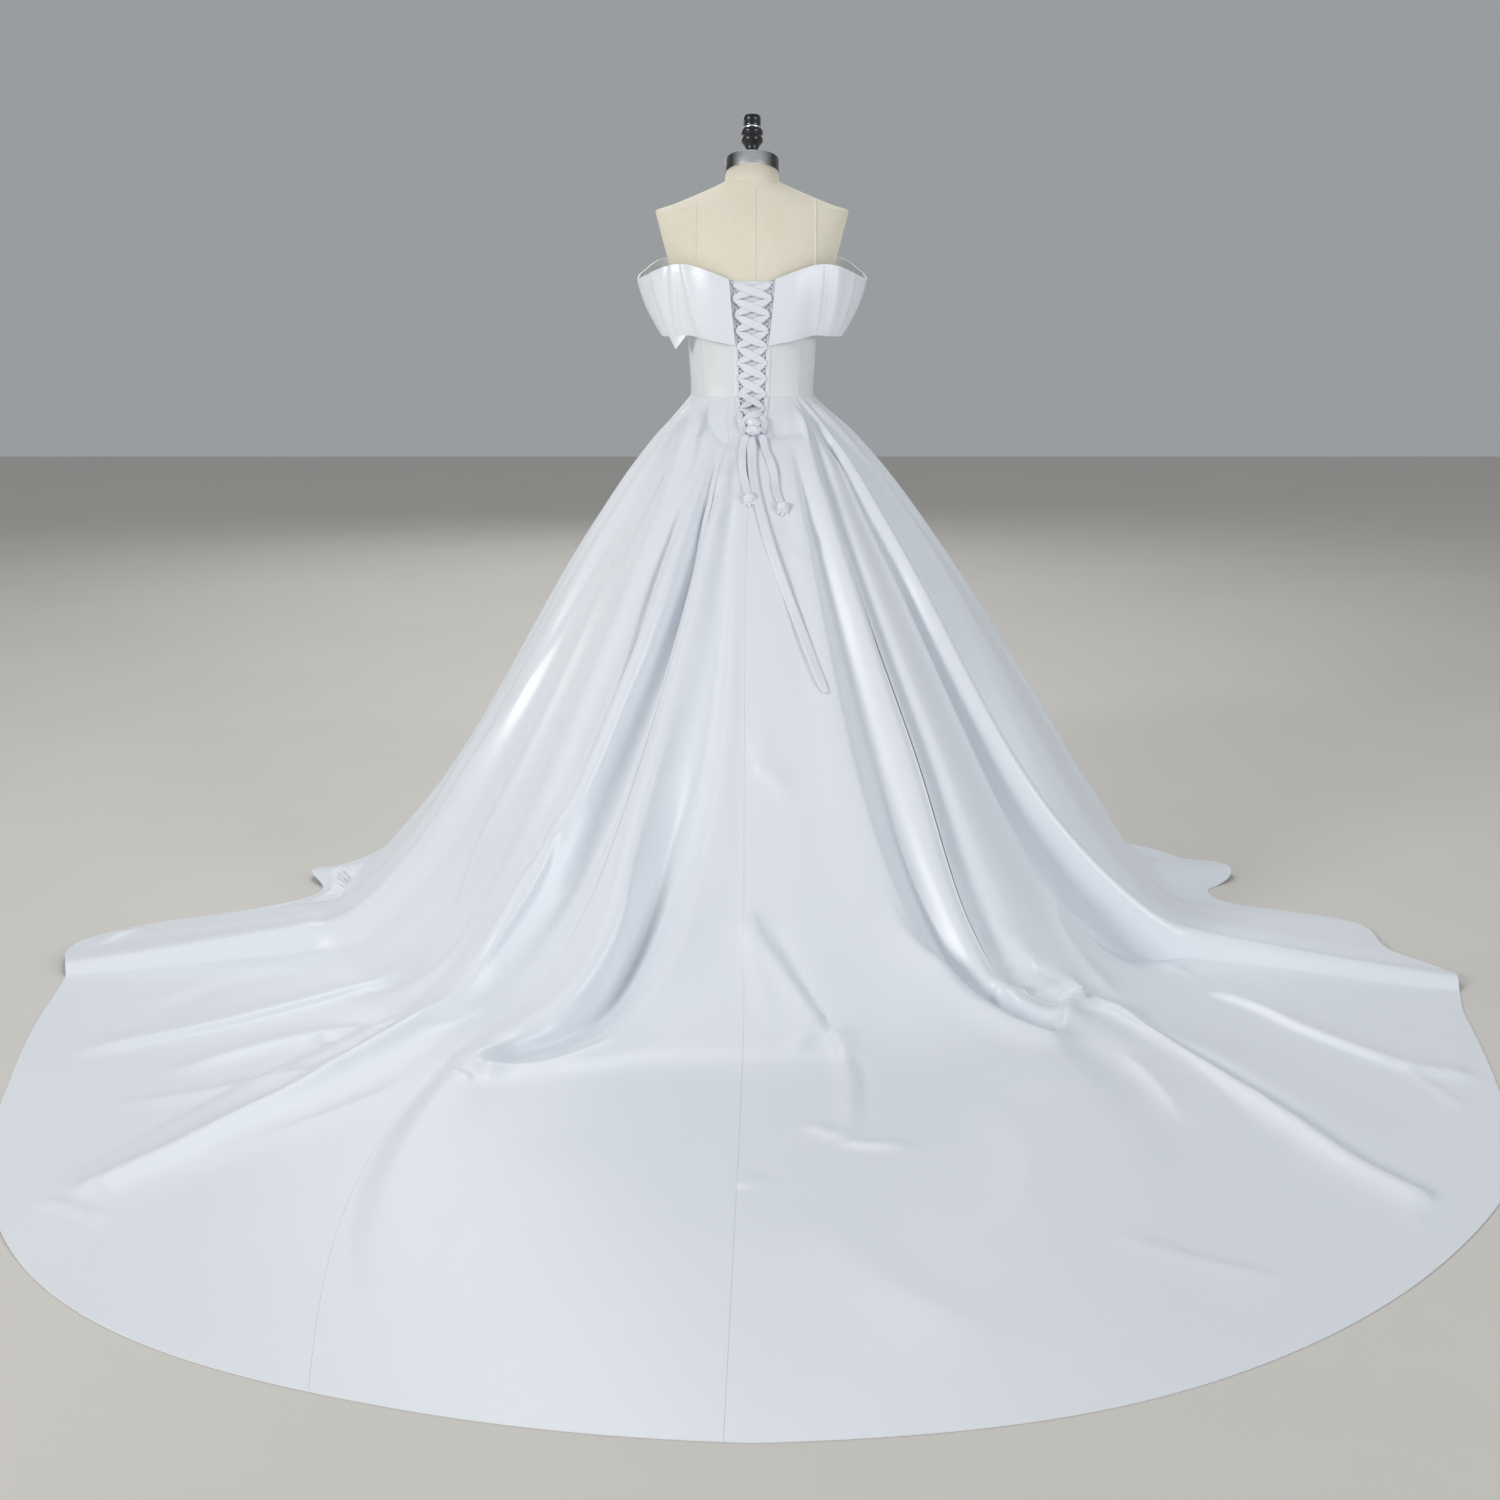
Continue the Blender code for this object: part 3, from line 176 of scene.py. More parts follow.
# Creases: rise, width on the left and on the right of someone who walks along it, shares of
# its length over which it fades in and out, and its path in azimuth and reach, lengths in millimetres
Crease = namedtuple("Crease", "name rise left right fade_in fade_out path")
CREASES = [Crease(*row) for row in (
    ("left pleat edge", 11, 5, 40, 0.06, 0.12, (
        (47.8, 114), (38.7, 158), (32.4, 214), (30.5, 254), (32.3, 339), (31.3, 444), (33.0, 544),
        (32.5, 675), (34.4, 772), (35.7, 853))),
    ("left floor crease", 17, 35, 11, 0.10, 0.05, (
        (33.8, 790), (36.0, 865), (37.4, 923), (36.6, 1074), (35.5, 1221), (35.3, 1345), (35.0, 1460),
        (35.1, 1563), (34.9, 1620))),
    ("left crease kink", 4, 12, 10, 0.1, 0.3, ((36.0, 1650), (34.9, 1639), (32.3, 1636), (31.9, 1666))),
    ("left soft crease", 3, 26, 18, 0.3, 0.3, (
        (30.1, 1056), (30.1, 1155), (31.2, 1266), (32.3, 1367), (34.0, 1444))),
    ("thin left ridge", 10, 8, 24, 0.06, 0.2, (
        (7.5, 190), (18.5, 252), (21.9, 315), (24.2, 373), (26.1, 438), (28.0, 495), (29.3, 552),
        (30.7, 603), (33.3, 646), (34.0, 716), (35.1, 818))),
    ("hollow beside it", -6, 16, 12, 0.1, 0.2, (
        (3.5, 190), (13.7, 228), (20.3, 252), (21.6, 305), (22.2, 343), (23.8, 414), (25.8, 506),
        (27.3, 565), (27.9, 622), (30.8, 720))),
    ("small ridge under the knot", 5, 8, 12, 0.2, 0.3, ((6.3, 224), (12.8, 267), (15.7, 319))),
    ("long swell", 14, 12, 28, 0.25, 0.06, (
        (14.9, 431), (16.8, 514), (18.3, 595), (18.5, 662), (18.2, 729), (19.2, 795), (21.8, 858),
        (25.2, 946), (26.4, 1034))),
    ("hollow of the swell", -8, 14, 14, 0.2, 0.1, (
        (9.2, 511), (13.2, 590), (14.7, 654), (16.8, 740), (19.3, 817), (22.4, 899), (24.7, 994))),
    ("rim of the swell", 12, 26, 9, 0.25, 0.06, (
        (8.0, 642), (8.3, 707), (11.4, 799), (15.0, 886), (19.0, 950), (23.4, 997), (25.7, 1029))),
    ("end of the swell", 3, 10, 10, 0.1, 0.3, ((26.4, 1040), (26.3, 1058), (24.4, 1052))),
    ("pale panel edge", 12, 28, 6, 0.06, 0.12, (
        (51.0, 112), (46.0, 170), (49.6, 211), (49.5, 262), (49.6, 310), (50.4, 348), (51.7, 408),
        (52.7, 470), (53.2, 514), (53.5, 577), (52.8, 635), (49.9, 695), (49.4, 748))),
    ("left upper floor crease", 12, 9, 28, 0.1, 0.15, (
        (49.6, 760), (49.8, 830), (50.1, 898), (50.6, 1030), (51.1, 1177), (52.3, 1344), (53.0, 1407))),
    ("left grey hollow", -5, 26, 20, 0.3, 0.3, ((56.0, 850), (60.9, 1007), (58.9, 1153), (54.5, 1335))),
    ("left bright fold", 7, 14, 20, 0.2, 0.25, (
        (37.5, 979), (41.4, 1005), (43.4, 1054), (45.0, 1162), (45.2, 1271), (45.7, 1332))),
    ("left bright loop", 3, 10, 8, 0.1, 0.3, ((43.1, 1057), (40.5, 1067), (37.4, 1069))),
    ("left lower fold", 5, 18, 12, 0.25, 0.3, (
        (36.0, 1098), (36.5, 1136), (39.4, 1237), (41.7, 1352), (44.0, 1439))),
    ("outer left hollow", -5, 22, 22, 0.3, 0.3, (
        (60.6, 457), (64.2, 532), (65.7, 620), (65.1, 760), (65.1, 903), (66.3, 1023), (67.2, 1171),
        (68.8, 1316))),
    ("outer left ridge", 6, 22, 7, 0.2, 0.3, (
        (54.0, 270), (55.5, 331), (58.1, 394), (60.6, 457), (63.6, 532), (66.5, 600), (70, 680))),
    ("train corner fold", 5, 10, 20, 0.3, 0.3, ((78.7, 1218), (76.4, 1259), (72.8, 1317))),
    ("right pleat edge", 11, 4, 26, 0.06, 0.10, (
        (-52.0, 110), (-38.5, 163), (-32.2, 215), (-30.9, 250), (-30.7, 299), (-30.9, 352), (-31.0, 404),
        (-31.8, 447), (-32.2, 493), (-32.2, 533), (-32.2, 585), (-32.1, 634), (-31.8, 690), (-31.5, 748),
        (-30.4, 810))),
    ("fine line inside the pleat", 4, 6, 6, 0.3, 0.15, (
        (-25.7, 525), (-25.8, 616), (-26.8, 710), (-27.6, 772), (-28.8, 818))),
    ("right floor crease", 16, 11, 30, 0.03, 0.06, (
        (-41.2, 872), (-41.8, 952), (-39.6, 1096), (-37.8, 1232), (-36.3, 1362), (-34.9, 1484),
        (-34.6, 1571), (-34.6, 1640))),
    ("crumple at its end", 3, 12, 8, 0.2, 0.3, ((-34.9, 1600), (-32.6, 1640), (-32.0, 1675))),
    ("pocket rim", 16, 10, 24, 0.25, 0.02, (
        (-18.6, 676), (-20.8, 747), (-24.8, 810), (-27.4, 868), (-29.6, 918), (-31.1, 949), (-32.9, 943),
        (-35.0, 916), (-37.4, 886), (-39.6, 866), (-41.2, 872))),
    ("pocket top", 10, 14, 8, 0.10, 0.05, (
        (-29.4, 824), (-31.7, 837), (-34.8, 836), (-37.8, 838), (-40.3, 849), (-41.2, 872))),
    ("pocket line", -4, 8, 10, 0.2, 0.1, ((-32.7, 773), (-37.4, 818), (-41.3, 870))),
    ("soft fold", 6, 18, 12, 0.3, 0.3, ((-34.1, 724), (-36.5, 774), (-37.7, 826))),
    ("trough edge", 11, 7, 28, 0.10, 0.10, (
        (-55.0, 181), (-51.6, 247), (-50.5, 300), (-50.0, 341), (-49.2, 388), (-49.4, 442), (-49.8, 479),
        (-50.1, 515), (-50.8, 550), (-51.8, 583), (-53.3, 628), (-54.7, 668))),
    ("trough foot", 8, 8, 16, 0.15, 0.3, (
        (-54.7, 668), (-56.8, 723), (-58.7, 783), (-59.8, 842), (-57.5, 930), (-56.7, 1002))),
    ("short dart", 6, 10, 20, 0.2, 0.2, (
        (-54.6, 663), (-48.6, 730), (-46.1, 768), (-45.6, 822), (-45.1, 877), (-44.5, 915))),
    ("roll beyond the trough", 8, 24, 10, 0.15, 0.2, (
        (-51.6, 310), (-51.4, 426), (-53.0, 531), (-55.4, 655), (-58.8, 761), (-62.0, 857), (-64.2, 977),
        (-65.4, 1202))),
    ("outer right crease", 11, 26, 9, 0.15, 0.10, (
        (-54.3, 981), (-53.1, 1093), (-51.4, 1173), (-50.7, 1224), (-50.1, 1280), (-49.5, 1377),
        (-50.8, 1495))),
    ("outer right branch", 4, 10, 12, 0.1, 0.3, ((-49.5, 1371), (-47.5, 1444), (-45.6, 1517))),
    ("short hem crease", 3, 10, 24, 0.25, 0.3, (
        (-17.8, 1494), (-19.3, 1524), (-21.0, 1587), (-22.8, 1644), (-23.9, 1689))),
    ("dimple", 2, 20, 20, 0.4, 0.4, ((8.6, 1000), (7.1, 1011), (5.6, 1000))),
    ("seam pucker", 6, 20, 8, 0.3, 0.40, (
        (0.9, 530), (-0.9, 534), (-2.9, 543), (-5.0, 557), (-7.8, 571))),
    ("seam pucker above", 3, 12, 7, 0.15, 0.4, ((1.0, 515), (-0.7, 517), (-3.1, 513), (-4.8, 516))),
    ("slant fold", 9, 8, 18, 0.15, 0.08, (
        (0.6, 684), (-1.0, 723), (-2.8, 749), (-4.5, 777), (-6.1, 804), (-7.8, 839))),
    ("hollow of the slant fold", -5, 10, 8, 0.2, 0.1, (
        (-1.9, 700), (-4.8, 743), (-7.2, 808), (-8.4, 839))),
    ("slant fold hook", 7, 7, 10, 0.08, 0.3, (
        (-8.2, 840), (-7.0, 843), (-6.1, 852), (-5.1, 869), (-4.2, 891))),
    ("seam drop fold", 10, 26, 8, 0.08, 0.35, (
        (-8.5, 842), (-9.3, 885), (-8.9, 968), (-7.8, 1075), (-7.0, 1161))),
    ("drop fold hollow", -5, 10, 14, 0.15, 0.2, ((-10.4, 883), (-10.4, 964), (-9.0, 1066), (-7.8, 1140))),
    ("hook fold", 6, 14, 10, 0.2, 0.2, (
        (-3.5, 1132), (-4.7, 1115), (-5.6, 1133), (-6.5, 1147), (-7.2, 1170), (-11.7, 1192))),
    ("seam nick", 3, 10, 10, 0.05, 0.4, ((0.7, 1290), (-0.8, 1254))),
    ("second seam fold", 4, 12, 16, 0.1, 0.4, ((1.3, 686), (-1.0, 775), (-3.1, 854))),
    ("lace end hook", 3, 10, 8, 0.3, 0.3, ((-15.6, 293), (-19.4, 307), (-22.6, 300))),
    ("lace end hook below", 3, 9, 8, 0.3, 0.3, ((-12.4, 306), (-14.9, 325), (-17.2, 342))),
    ("broad roll", 5, 50, 60, 0.35, 0.35, ((-2.2, 1328), (-6.6, 1571), (-11.6, 1718))),
    ("left yoke bend", -6, 22, 6, 0.15, 0.15, ((37.7, 138), (21.1, 158), (9.5, 166))),
    ("right yoke bend", -6, 22, 6, 0.15, 0.15, ((-13.0, 147), (-28.2, 152), (-39.4, 158))),
    ("left shoulder fold", 7, 10, 28, 0.1, 0.3, ((62, 118), (61, 200), (61, 300), (62, 420), (63, 550))),
    ("right shoulder fold", 6, 24, 10, 0.1, 0.3, ((-66, 120), (-64, 200), (-62, 270), (-61, 360))),
    ("floor ripple one", 3, 30, 40, 0.4, 0.4, ((12, 1120), (15, 1400), (14, 1620))),
    ("floor ripple two", 3, 40, 30, 0.4, 0.4, ((-20, 1050), (-18, 1260), (-14, 1450))),
    ("floor ripple three", 3, 40, 40, 0.4, 0.4, ((57, 1000), (60, 1150), (61, 1300))),
    ("floor ripple four", 4, 34, 14, 0.3, 0.4, ((-36, 1020), (-33.4, 1150), (-30, 1310))),
    # Sides and front, which the photograph doesn't show
    ("left hip fold", 8, 10, 30, 0.1, 0.2, ((84, 130), (80, 240), (82, 400), (80, 600), (84, 780))),
    ("left hip hook", 6, 8, 10, 0.2, 0.3, ((90, 520), (86, 560), (84, 620))),
    ("left hem fold", 8, 12, 20, 0.3, 0.1, ((96, 550), (92, 700), (94, 840))),
    ("right hip fold", 8, 28, 10, 0.1, 0.2, ((-82, 130), (-85, 260), (-82, 420), (-86, 600), (-83, 800))),
    ("right hip dart", 6, 8, 12, 0.2, 0.3, ((-94, 620), (-90, 690), (-89, 780))),
    ("right hem fold", 8, 20, 12, 0.3, 0.1, ((-99, 500), (-95, 660), (-98, 860))),
    ("front fold one", 8, 8, 26, 0.1, 0.2, ((112, 130), (116, 280), (114, 500), (117, 760))),
    ("front fold two", 7, 24, 9, 0.1, 0.3, ((131, 130), (128, 300), (131, 480), (129, 660))),
    ("front fold three", 9, 9, 26, 0.1, 0.2, ((148, 130), (151, 320), (148, 550), (152, 820))),
    ("front fold four", 7, 26, 9, 0.2, 0.2, ((169, 200), (166, 380), (169, 600), (166, 800))),
    ("front fold five", 8, 8, 24, 0.1, 0.3, ((186, 130), (189, 300), (187, 450), (190, 620))),
    ("front fold six", 9, 26, 9, 0.1, 0.2, ((208, 130), (204, 300), (208, 560), (205, 800))),
    ("front fold seven", 7, 10, 24, 0.2, 0.2, ((224, 240), (228, 420), (225, 620), (228, 800))),
    ("front fold eight", 8, 24, 9, 0.1, 0.3, ((246, 130), (242, 300), (245, 500), (243, 700))),
    ("front slant fold", 7, 8, 12, 0.1, 0.2, ((158, 600), (161, 660), (164, 730), (166, 800))),
    ("front hem crease", 6, 10, 10, 0.2, 0.2, ((176, 700), (180, 740), (183, 800), (183, 860))),
    ("front side slant", 6, 10, 12, 0.1, 0.3, ((214, 550), (218, 620), (221, 700))),
    ("front waist fold", 5, 10, 12, 0.1, 0.3, ((174, 130), (177, 200), (176, 300))),
)]

# Sizes of the lacing: its crossings, how high each strand lies, its cross-section, the thread loops that
# hold it, the strips that they are sewn to, and the place of its knot
LACE_TOP, LACE_BOTTOM, LACE_CROSSINGS = 1.233, 0.968, 9
LACE_TURN, LACE_INSET = 0.0026, 0.0025
LACES = (("lace_under", 1), ("lace_over", -1))
UPPER_LIFT, LOWER_LIFT = 0.0070, 0.0044
LACE_PITCH = (LACE_TOP - LACE_BOTTOM) / LACE_CROSSINGS
LACE_HALF, LACE_SPREAD, LACE_THICKNESS = 0.0028, 0.0046, 0.0007
LACE_CUP, LACE_GROOVE, LACE_RIPPLE = 0.0008, 0.0007, 0.0002
LOOP_START, LOOP_RISE, LOOP_REACH, LOOP_LIFT, LOOP_RADIUS = 0.004, 0.0052, 0.0068, 0.0036, 0.0011
STRIP_TOP, STRIP_FOOT, STRIP_WIDTH, STRIP_LIFT, STRIP_SWELL = 1.232, 0.972, 0.0075, 0.0023, 0.0009
STRIP_THICKNESS, STRIP_EDGE, LOOP_EDGE = 0.0008, 0.0008, 0.0022
KNOT_PLACE = (-0.003, 0.1562, 0.9640)

# Lace ends: diameter, whole length, how each ends, and its middle line, as the solids lie
Tail = namedtuple("Tail", "name diameter length far_end path")
TAILS = (
    Tail("lace_tail_long", 0.012, 0.545, "bare", (
        (-0.0005, 0.1617, 0.9523), (0.0002, 0.1795, 0.9271), (-0.0014, 0.2091, 0.8924),
        (-0.0081, 0.2401, 0.8550), (-0.0187, 0.2720, 0.8136), (-0.0348, 0.3118, 0.7585),
        (-0.0641, 0.3614, 0.6825), (-0.0934, 0.4079, 0.6119), (-0.1177, 0.4443, 0.5532),
        (-0.1316, 0.4622, 0.5228))),
    Tail("lace_tail_left", 0.010, 0.133, "knot", (
        (0.0113, 0.1598, 0.9547), (0.0165, 0.1761, 0.9298), (0.0183, 0.1878, 0.9167),
        (0.0182, 0.1996, 0.9028), (0.0168, 0.2110, 0.8894), (0.0141, 0.2211, 0.8773),
        (0.0110, 0.2299, 0.8669), (0.0088, 0.2363, 0.8592), (0.0067, 0.2418, 0.8526))),
    Tail("lace_tail_right", 0.010, 0.154, "knot", (
        (-0.0183, 0.1592, 0.9553), (-0.0260, 0.1753, 0.9294), (-0.0323, 0.1879, 0.9148),
        (-0.0370, 0.1989, 0.9009), (-0.0406, 0.2099, 0.8873), (-0.0429, 0.2216, 0.8729),
        (-0.0451, 0.2328, 0.8592), (-0.0489, 0.2419, 0.8478), (-0.0532, 0.2505, 0.8375))),
)
END_KNOTS = {
    "lace_tail_left_knot": (0.0042, 0.2506, 0.8467), "lace_tail_right_knot": (-0.0566, 0.2597, 0.8310),
}


# The band: top and bottom edge at stations from the back opening to the middle of the front
Station = namedtuple("Station", "top_x top_y top_z low_x low_y low_z")
BAND = (
    Station(0.0434, 0.1069, 1.239, 0.0310, 0.0913, 1.118),
    Station(0.0800, 0.1025, 1.253, 0.0760, 0.0900, 1.127),
    Station(0.1230, 0.0860, 1.266, 0.1160, 0.0730, 1.137),
    Station(0.1620, 0.0700, 1.264, 0.1480, 0.0560, 1.136),
    Station(0.1980, 0.0380, 1.250, 0.1690, 0.0280, 1.136),
    Station(0.2210, -0.0080, 1.243, 0.1750, -0.0080, 1.138),
    Station(0.2080, -0.0580, 1.262, 0.1700, -0.0480, 1.146),
    Station(0.1760, -0.1000, 1.284, 0.1520, -0.0860, 1.158),
    Station(0.1200, -0.1220, 1.286, 0.1120, -0.1020, 1.160),
    Station(0.0600, -0.1420, 1.272, 0.0560, -0.1150, 1.150),
    Station(0.0000, -0.1445, 1.258, 0.0000, -0.1180, 1.140),
)
BAND_THICKNESS, BAND_BULGE = 0.003, 0.006

# The knob and its ring: radius and height over the neck plate, from the bottom up
KNOB_PROFILE = (
    (0.0140, 0.0003), (0.0140, 0.0052), (0.0134, 0.0062), (0.0118, 0.0085), (0.0118, 0.0200),
    (0.0126, 0.0225), (0.0150, 0.0268), (0.0192, 0.0318), (0.0205, 0.0338), (0.0207, 0.0372),
    (0.0203, 0.0398), (0.0186, 0.0424), (0.0180, 0.0445), (0.0186, 0.0462), (0.0205, 0.0484),
    (0.0208, 0.0508), (0.0205, 0.0532), (0.0196, 0.0556), (0.0150, 0.0570), (0.0150, 0.0613),
    (0.0163, 0.0620), (0.0167, 0.0640), (0.0160, 0.0655), (0.0167, 0.0672), (0.0160, 0.0690),
    (0.0167, 0.0708), (0.0160, 0.0726), (0.0167, 0.0745), (0.0166, 0.0800), (0.0158, 0.0822),
    (0.0142, 0.0830),
)
RING_PROFILE = (
    (0.0153, 0.0577), (0.0170, 0.0578), (0.0172, 0.0584), (0.0172, 0.0601), (0.0170, 0.0607),
    (0.0153, 0.0608),
)


# Curves


def curve(knots, values, places):
    """A smooth curve through values at rising knots, for an array of places."""
    knots, values = np.asarray(knots, float), np.asarray(values, float)
    places = np.asarray(places, float)
    slopes = np.empty_like(values)
    slopes[1:-1] = (values[2:] - values[:-2]) / (knots[2:] - knots[:-2])
    slopes[0] = (values[1] - values[0]) / (knots[1] - knots[0])
    slopes[-1] = (values[-1] - values[-2]) / (knots[-1] - knots[-2])
    i = np.clip(np.searchsorted(knots, places, "right") - 1, 0, len(knots) - 2)
    step = knots[i + 1] - knots[i]
    t = np.clip((places - knots[i]) / step, 0, 1)
    return (
        values[i] * (2 * t**3 - 3 * t**2 + 1) + values[i + 1] * (3 * t**2 - 2 * t**3)
        + slopes[i] * step * (t**3 - 2 * t**2 + t) + slopes[i + 1] * step * (t**3 - t**2)
    )


def path_curve(points, count):
    """Points spread evenly in number along a smooth curve through given points."""
    points = np.asarray(points, float)
    steps = np.r_[0, np.cumsum(np.linalg.norm(np.diff(points, axis=0), axis=1))]
    places = np.linspace(0, steps[-1], count)
    return np.stack([curve(steps, points[:, i], places) for i in range(points.shape[1])], axis=1)


def ease(value):
    value = np.clip(value, 0, 1)
    return value * value * (3 - 2 * value)


def unit(vectors):
    return vectors / np.maximum(np.linalg.norm(vectors, axis=-1, keepdims=True), 1e-12)


def power(value, exponent):
    return np.sign(value) * np.abs(value) ** exponent


# The form's and the bodice's surface


def form_sizes(height):
    knots = [ring.height for ring in FORM_RINGS]
    return [curve(knots, [getattr(ring, name) for ring in FORM_RINGS], height)
            for name in ("half_width", "front", "back")]


def form_point(height, angle, out=0.0):
    """Points of the form at heights and ring angles, moved out."""
    height, turn = np.asarray(height, float), np.radians(angle)
    half_width, front, back = form_sizes(height)
    depth = np.where(np.cos(turn) > 0, back, front)
    x = (half_width + out) * power(np.sin(turn), 2 / ROUNDNESS)
    y = (depth + out) * power(np.cos(turn), 2 / ROUNDNESS)
    return np.stack(np.broadcast_arrays(x, y, height), axis=-1)


def form_angle(height, x, out):
    half_width = form_sizes(height)[0] + out
    return np.degrees(np.arcsin(power(x / half_width, ROUNDNESS / 2)))


# The skirt's surface


def waist_reach(azimuth):
    half_width, front, back = (float(size) for size in form_sizes(WAIST_HEIGHT))
    turn = np.radians(azimuth)
    depth = np.where(np.cos(turn) > 0, back, front)
    wide = np.abs(np.sin(turn)) / (half_width + CLEARANCE)
    deep = np.abs(np.cos(turn)) / (depth + CLEARANCE)
    return (wide**ROUNDNESS + deep**ROUNDNESS) ** (-1 / ROUNDNESS)


def hem_reach(azimuth):
    return curve([h.azimuth for h in HEM], [h.reach for h in HEM], np.mod(azimuth, 360))


def cone(azimuth, level):
    """Reach, height and outward slope of the plain skirt, before its folds."""
    waist, hem = waist_reach(azimuth), hem_reach(azimuth)
    puff = PUFF * np.minimum(level / PUFF_START, 1.0) * (1 - level)
    hanging = waist + puff + (FLOOR_REACH - waist) * level
    reach = np.where(level <= 1, hanging, FLOOR_REACH + (hem - FLOOR_REACH) * (level - 1))
    softness = SOFTNESS + TRAIN_SOFTNESS * np.clip((hem - FLOOR_REACH) / TRAIN_START, 0, 1)

    def height(at):
        share = (at - waist) / (FLOOR_REACH - waist)
        swell = SWELL * np.sin(2 * np.pi * share) - SAG * np.sin(np.pi * share)
        plain = WAIST_HEIGHT * np.where(share > 1, -PAST_FLOOR * (share - 1), 1 - share + swell)
        near = np.minimum(share, 1)
        return 0.5 * (plain + np.hypot(plain, softness * near)) - SINK * near

    step = 0.001
    return reach, height(reach), (height(reach) - height(reach + step)) / step


def fold_levels(fold):
    return [fold.waist, fold.waist * 0.62 + fold.upper * 0.38, *fold[2:7]]


def fold_rises(fold):
    from_middle = min(fold.waist % 360, -fold.waist % 360)
    return [0.0, fold.up * PLEAT_SHARE if from_middle > PLEATED_FROM else 0.0, *fold[7:]]


def turned_on(fold, name):
    return Fold(name, *(value + 360 for value in fold[1:7]), *fold[7:])


def all_folds():
    folds = list(LEFT_FOLDS)
    for number in range(FRONT_FOLDS):
        azimuth = FRONT_START + (FRONT_END - FRONT_START) * number / (FRONT_FOLDS - 1)
        sway = 1.2 * math.sin(2.3 * number)
        size = 1 + 0.25 * math.sin(1.7 * number + 0.6)
        rises = FRONT_TROUGH if number % 2 else FRONT_CREST
        lines = [azimuth + sway * share for share in (0, 0.3, 1, 0.8, 0.5, 0)]
        folds.append(Fold(f"front pleat {number}", *lines, *(size * rise for rise in rises)))
    folds += [turned_on(fold, fold.name) for fold in RIGHT_FOLDS]
    return folds + [turned_on(LEFT_FOLDS[0], "centre seam end")]


FOLDS = all_folds()


def opening_half(height):
    return np.interp(-np.asarray(height), [-h for h, _ in OPENING], [half for _, half in OPENING])


def fold_grid(places, levels):
    """Azimuth and rise of every grid point: a place among the folds for each column."""
    azimuth, rise = np.empty_like(levels), np.empty_like(levels)
    for column, place in enumerate(places):
        number = min(int(place), len(FOLDS) - 2)
        share = place - number
        soft = 0.5 - 0.5 * math.cos(math.pi * share)
        near, far = (
            [curve(LEVELS, values, levels[:, column]) for values in (fold_levels(f), fold_rises(f))]
            for f in FOLDS[number:number + 2]
        )
        azimuth[:, column] = near[0] * (1 - share) + far[0] * share
        rise[:, column] = (near[1] * (1 - soft) + far[1] * soft) / MILLIMETRES
    return azimuth, rise


def part_back(azimuth, levels):
    """Moves the back's columns round so that they start at the opening's edge."""
    reach, height, _ = cone(azimuth, levels)
    edge = np.degrees(opening_half(height) / reach)
    middle = FOLDS[0].middle
    left = azimuth < 180
    away = np.where(left, azimuth - middle, middle + 360 - azimuth)
    shift = edge * np.clip(1 - away / OPENING_SPREAD, 0, None)
    return azimuth + np.where(left, shift, -shift)


def grid_normals(points):
    """Outward normals of a grid whose columns go round and whose rows go down."""
    along = np.gradient(points, axis=1)
    down = np.gradient(points, axis=0)
    return unit(np.cross(along, down))


def crease_lift(points):
    """How far the creases lift each point, from its place seen from above."""
    flat = points[..., :2].reshape(-1, 2)
    lift = np.zeros(len(flat))
    for crease in CREASES:
        azimuth, reach = np.array(crease.path).T
        turn, reach = np.radians(azimuth), reach / MILLIMETRES
        path = path_curve(np.stack([reach * np.sin(turn), reach * np.cos(turn)], axis=1), CREASE_STEPS)
        left, right = crease.left / MILLIMETRES, crease.right / MILLIMETRES
        room = CREASE_ROOM * max(left, right)
        near = np.all((flat > path.min(axis=0) - room) & (flat < path.max(axis=0) + room), axis=1)
        spots = flat[near]
        if not len(spots):
            continue
        best = np.full(len(spots), 9.0)
        side, along = np.zeros(len(spots)), np.zeros(len(spots))
        for number, (start, end) in enumerate(zip(path, path[1:])):
            run = end - start
            share = np.clip((spots - start) @ run / (run @ run), 0, 1)
            away = spots - (start + share[:, None] * run)
            distance = np.linalg.norm(away, axis=1)
            closer = distance < best
            best[closer] = distance[closer]
            side[closer] = (run[0] * away[:, 1] - run[1] * away[:, 0])[closer]
            along[closer] = (number + share[closer]) / (len(path) - 1)
        width = np.where(side > 0, left, right)
        fade = ease(along / crease.fade_in) * ease((1 - along) / crease.fade_out)
        away = np.hypot(best, CREST_ROUND) - CREST_ROUND
        lift[near] += crease.rise / MILLIMETRES * fade * np.exp(-((away / width) ** CREST_SHARPNESS))
    return lift.reshape(points.shape[:2])


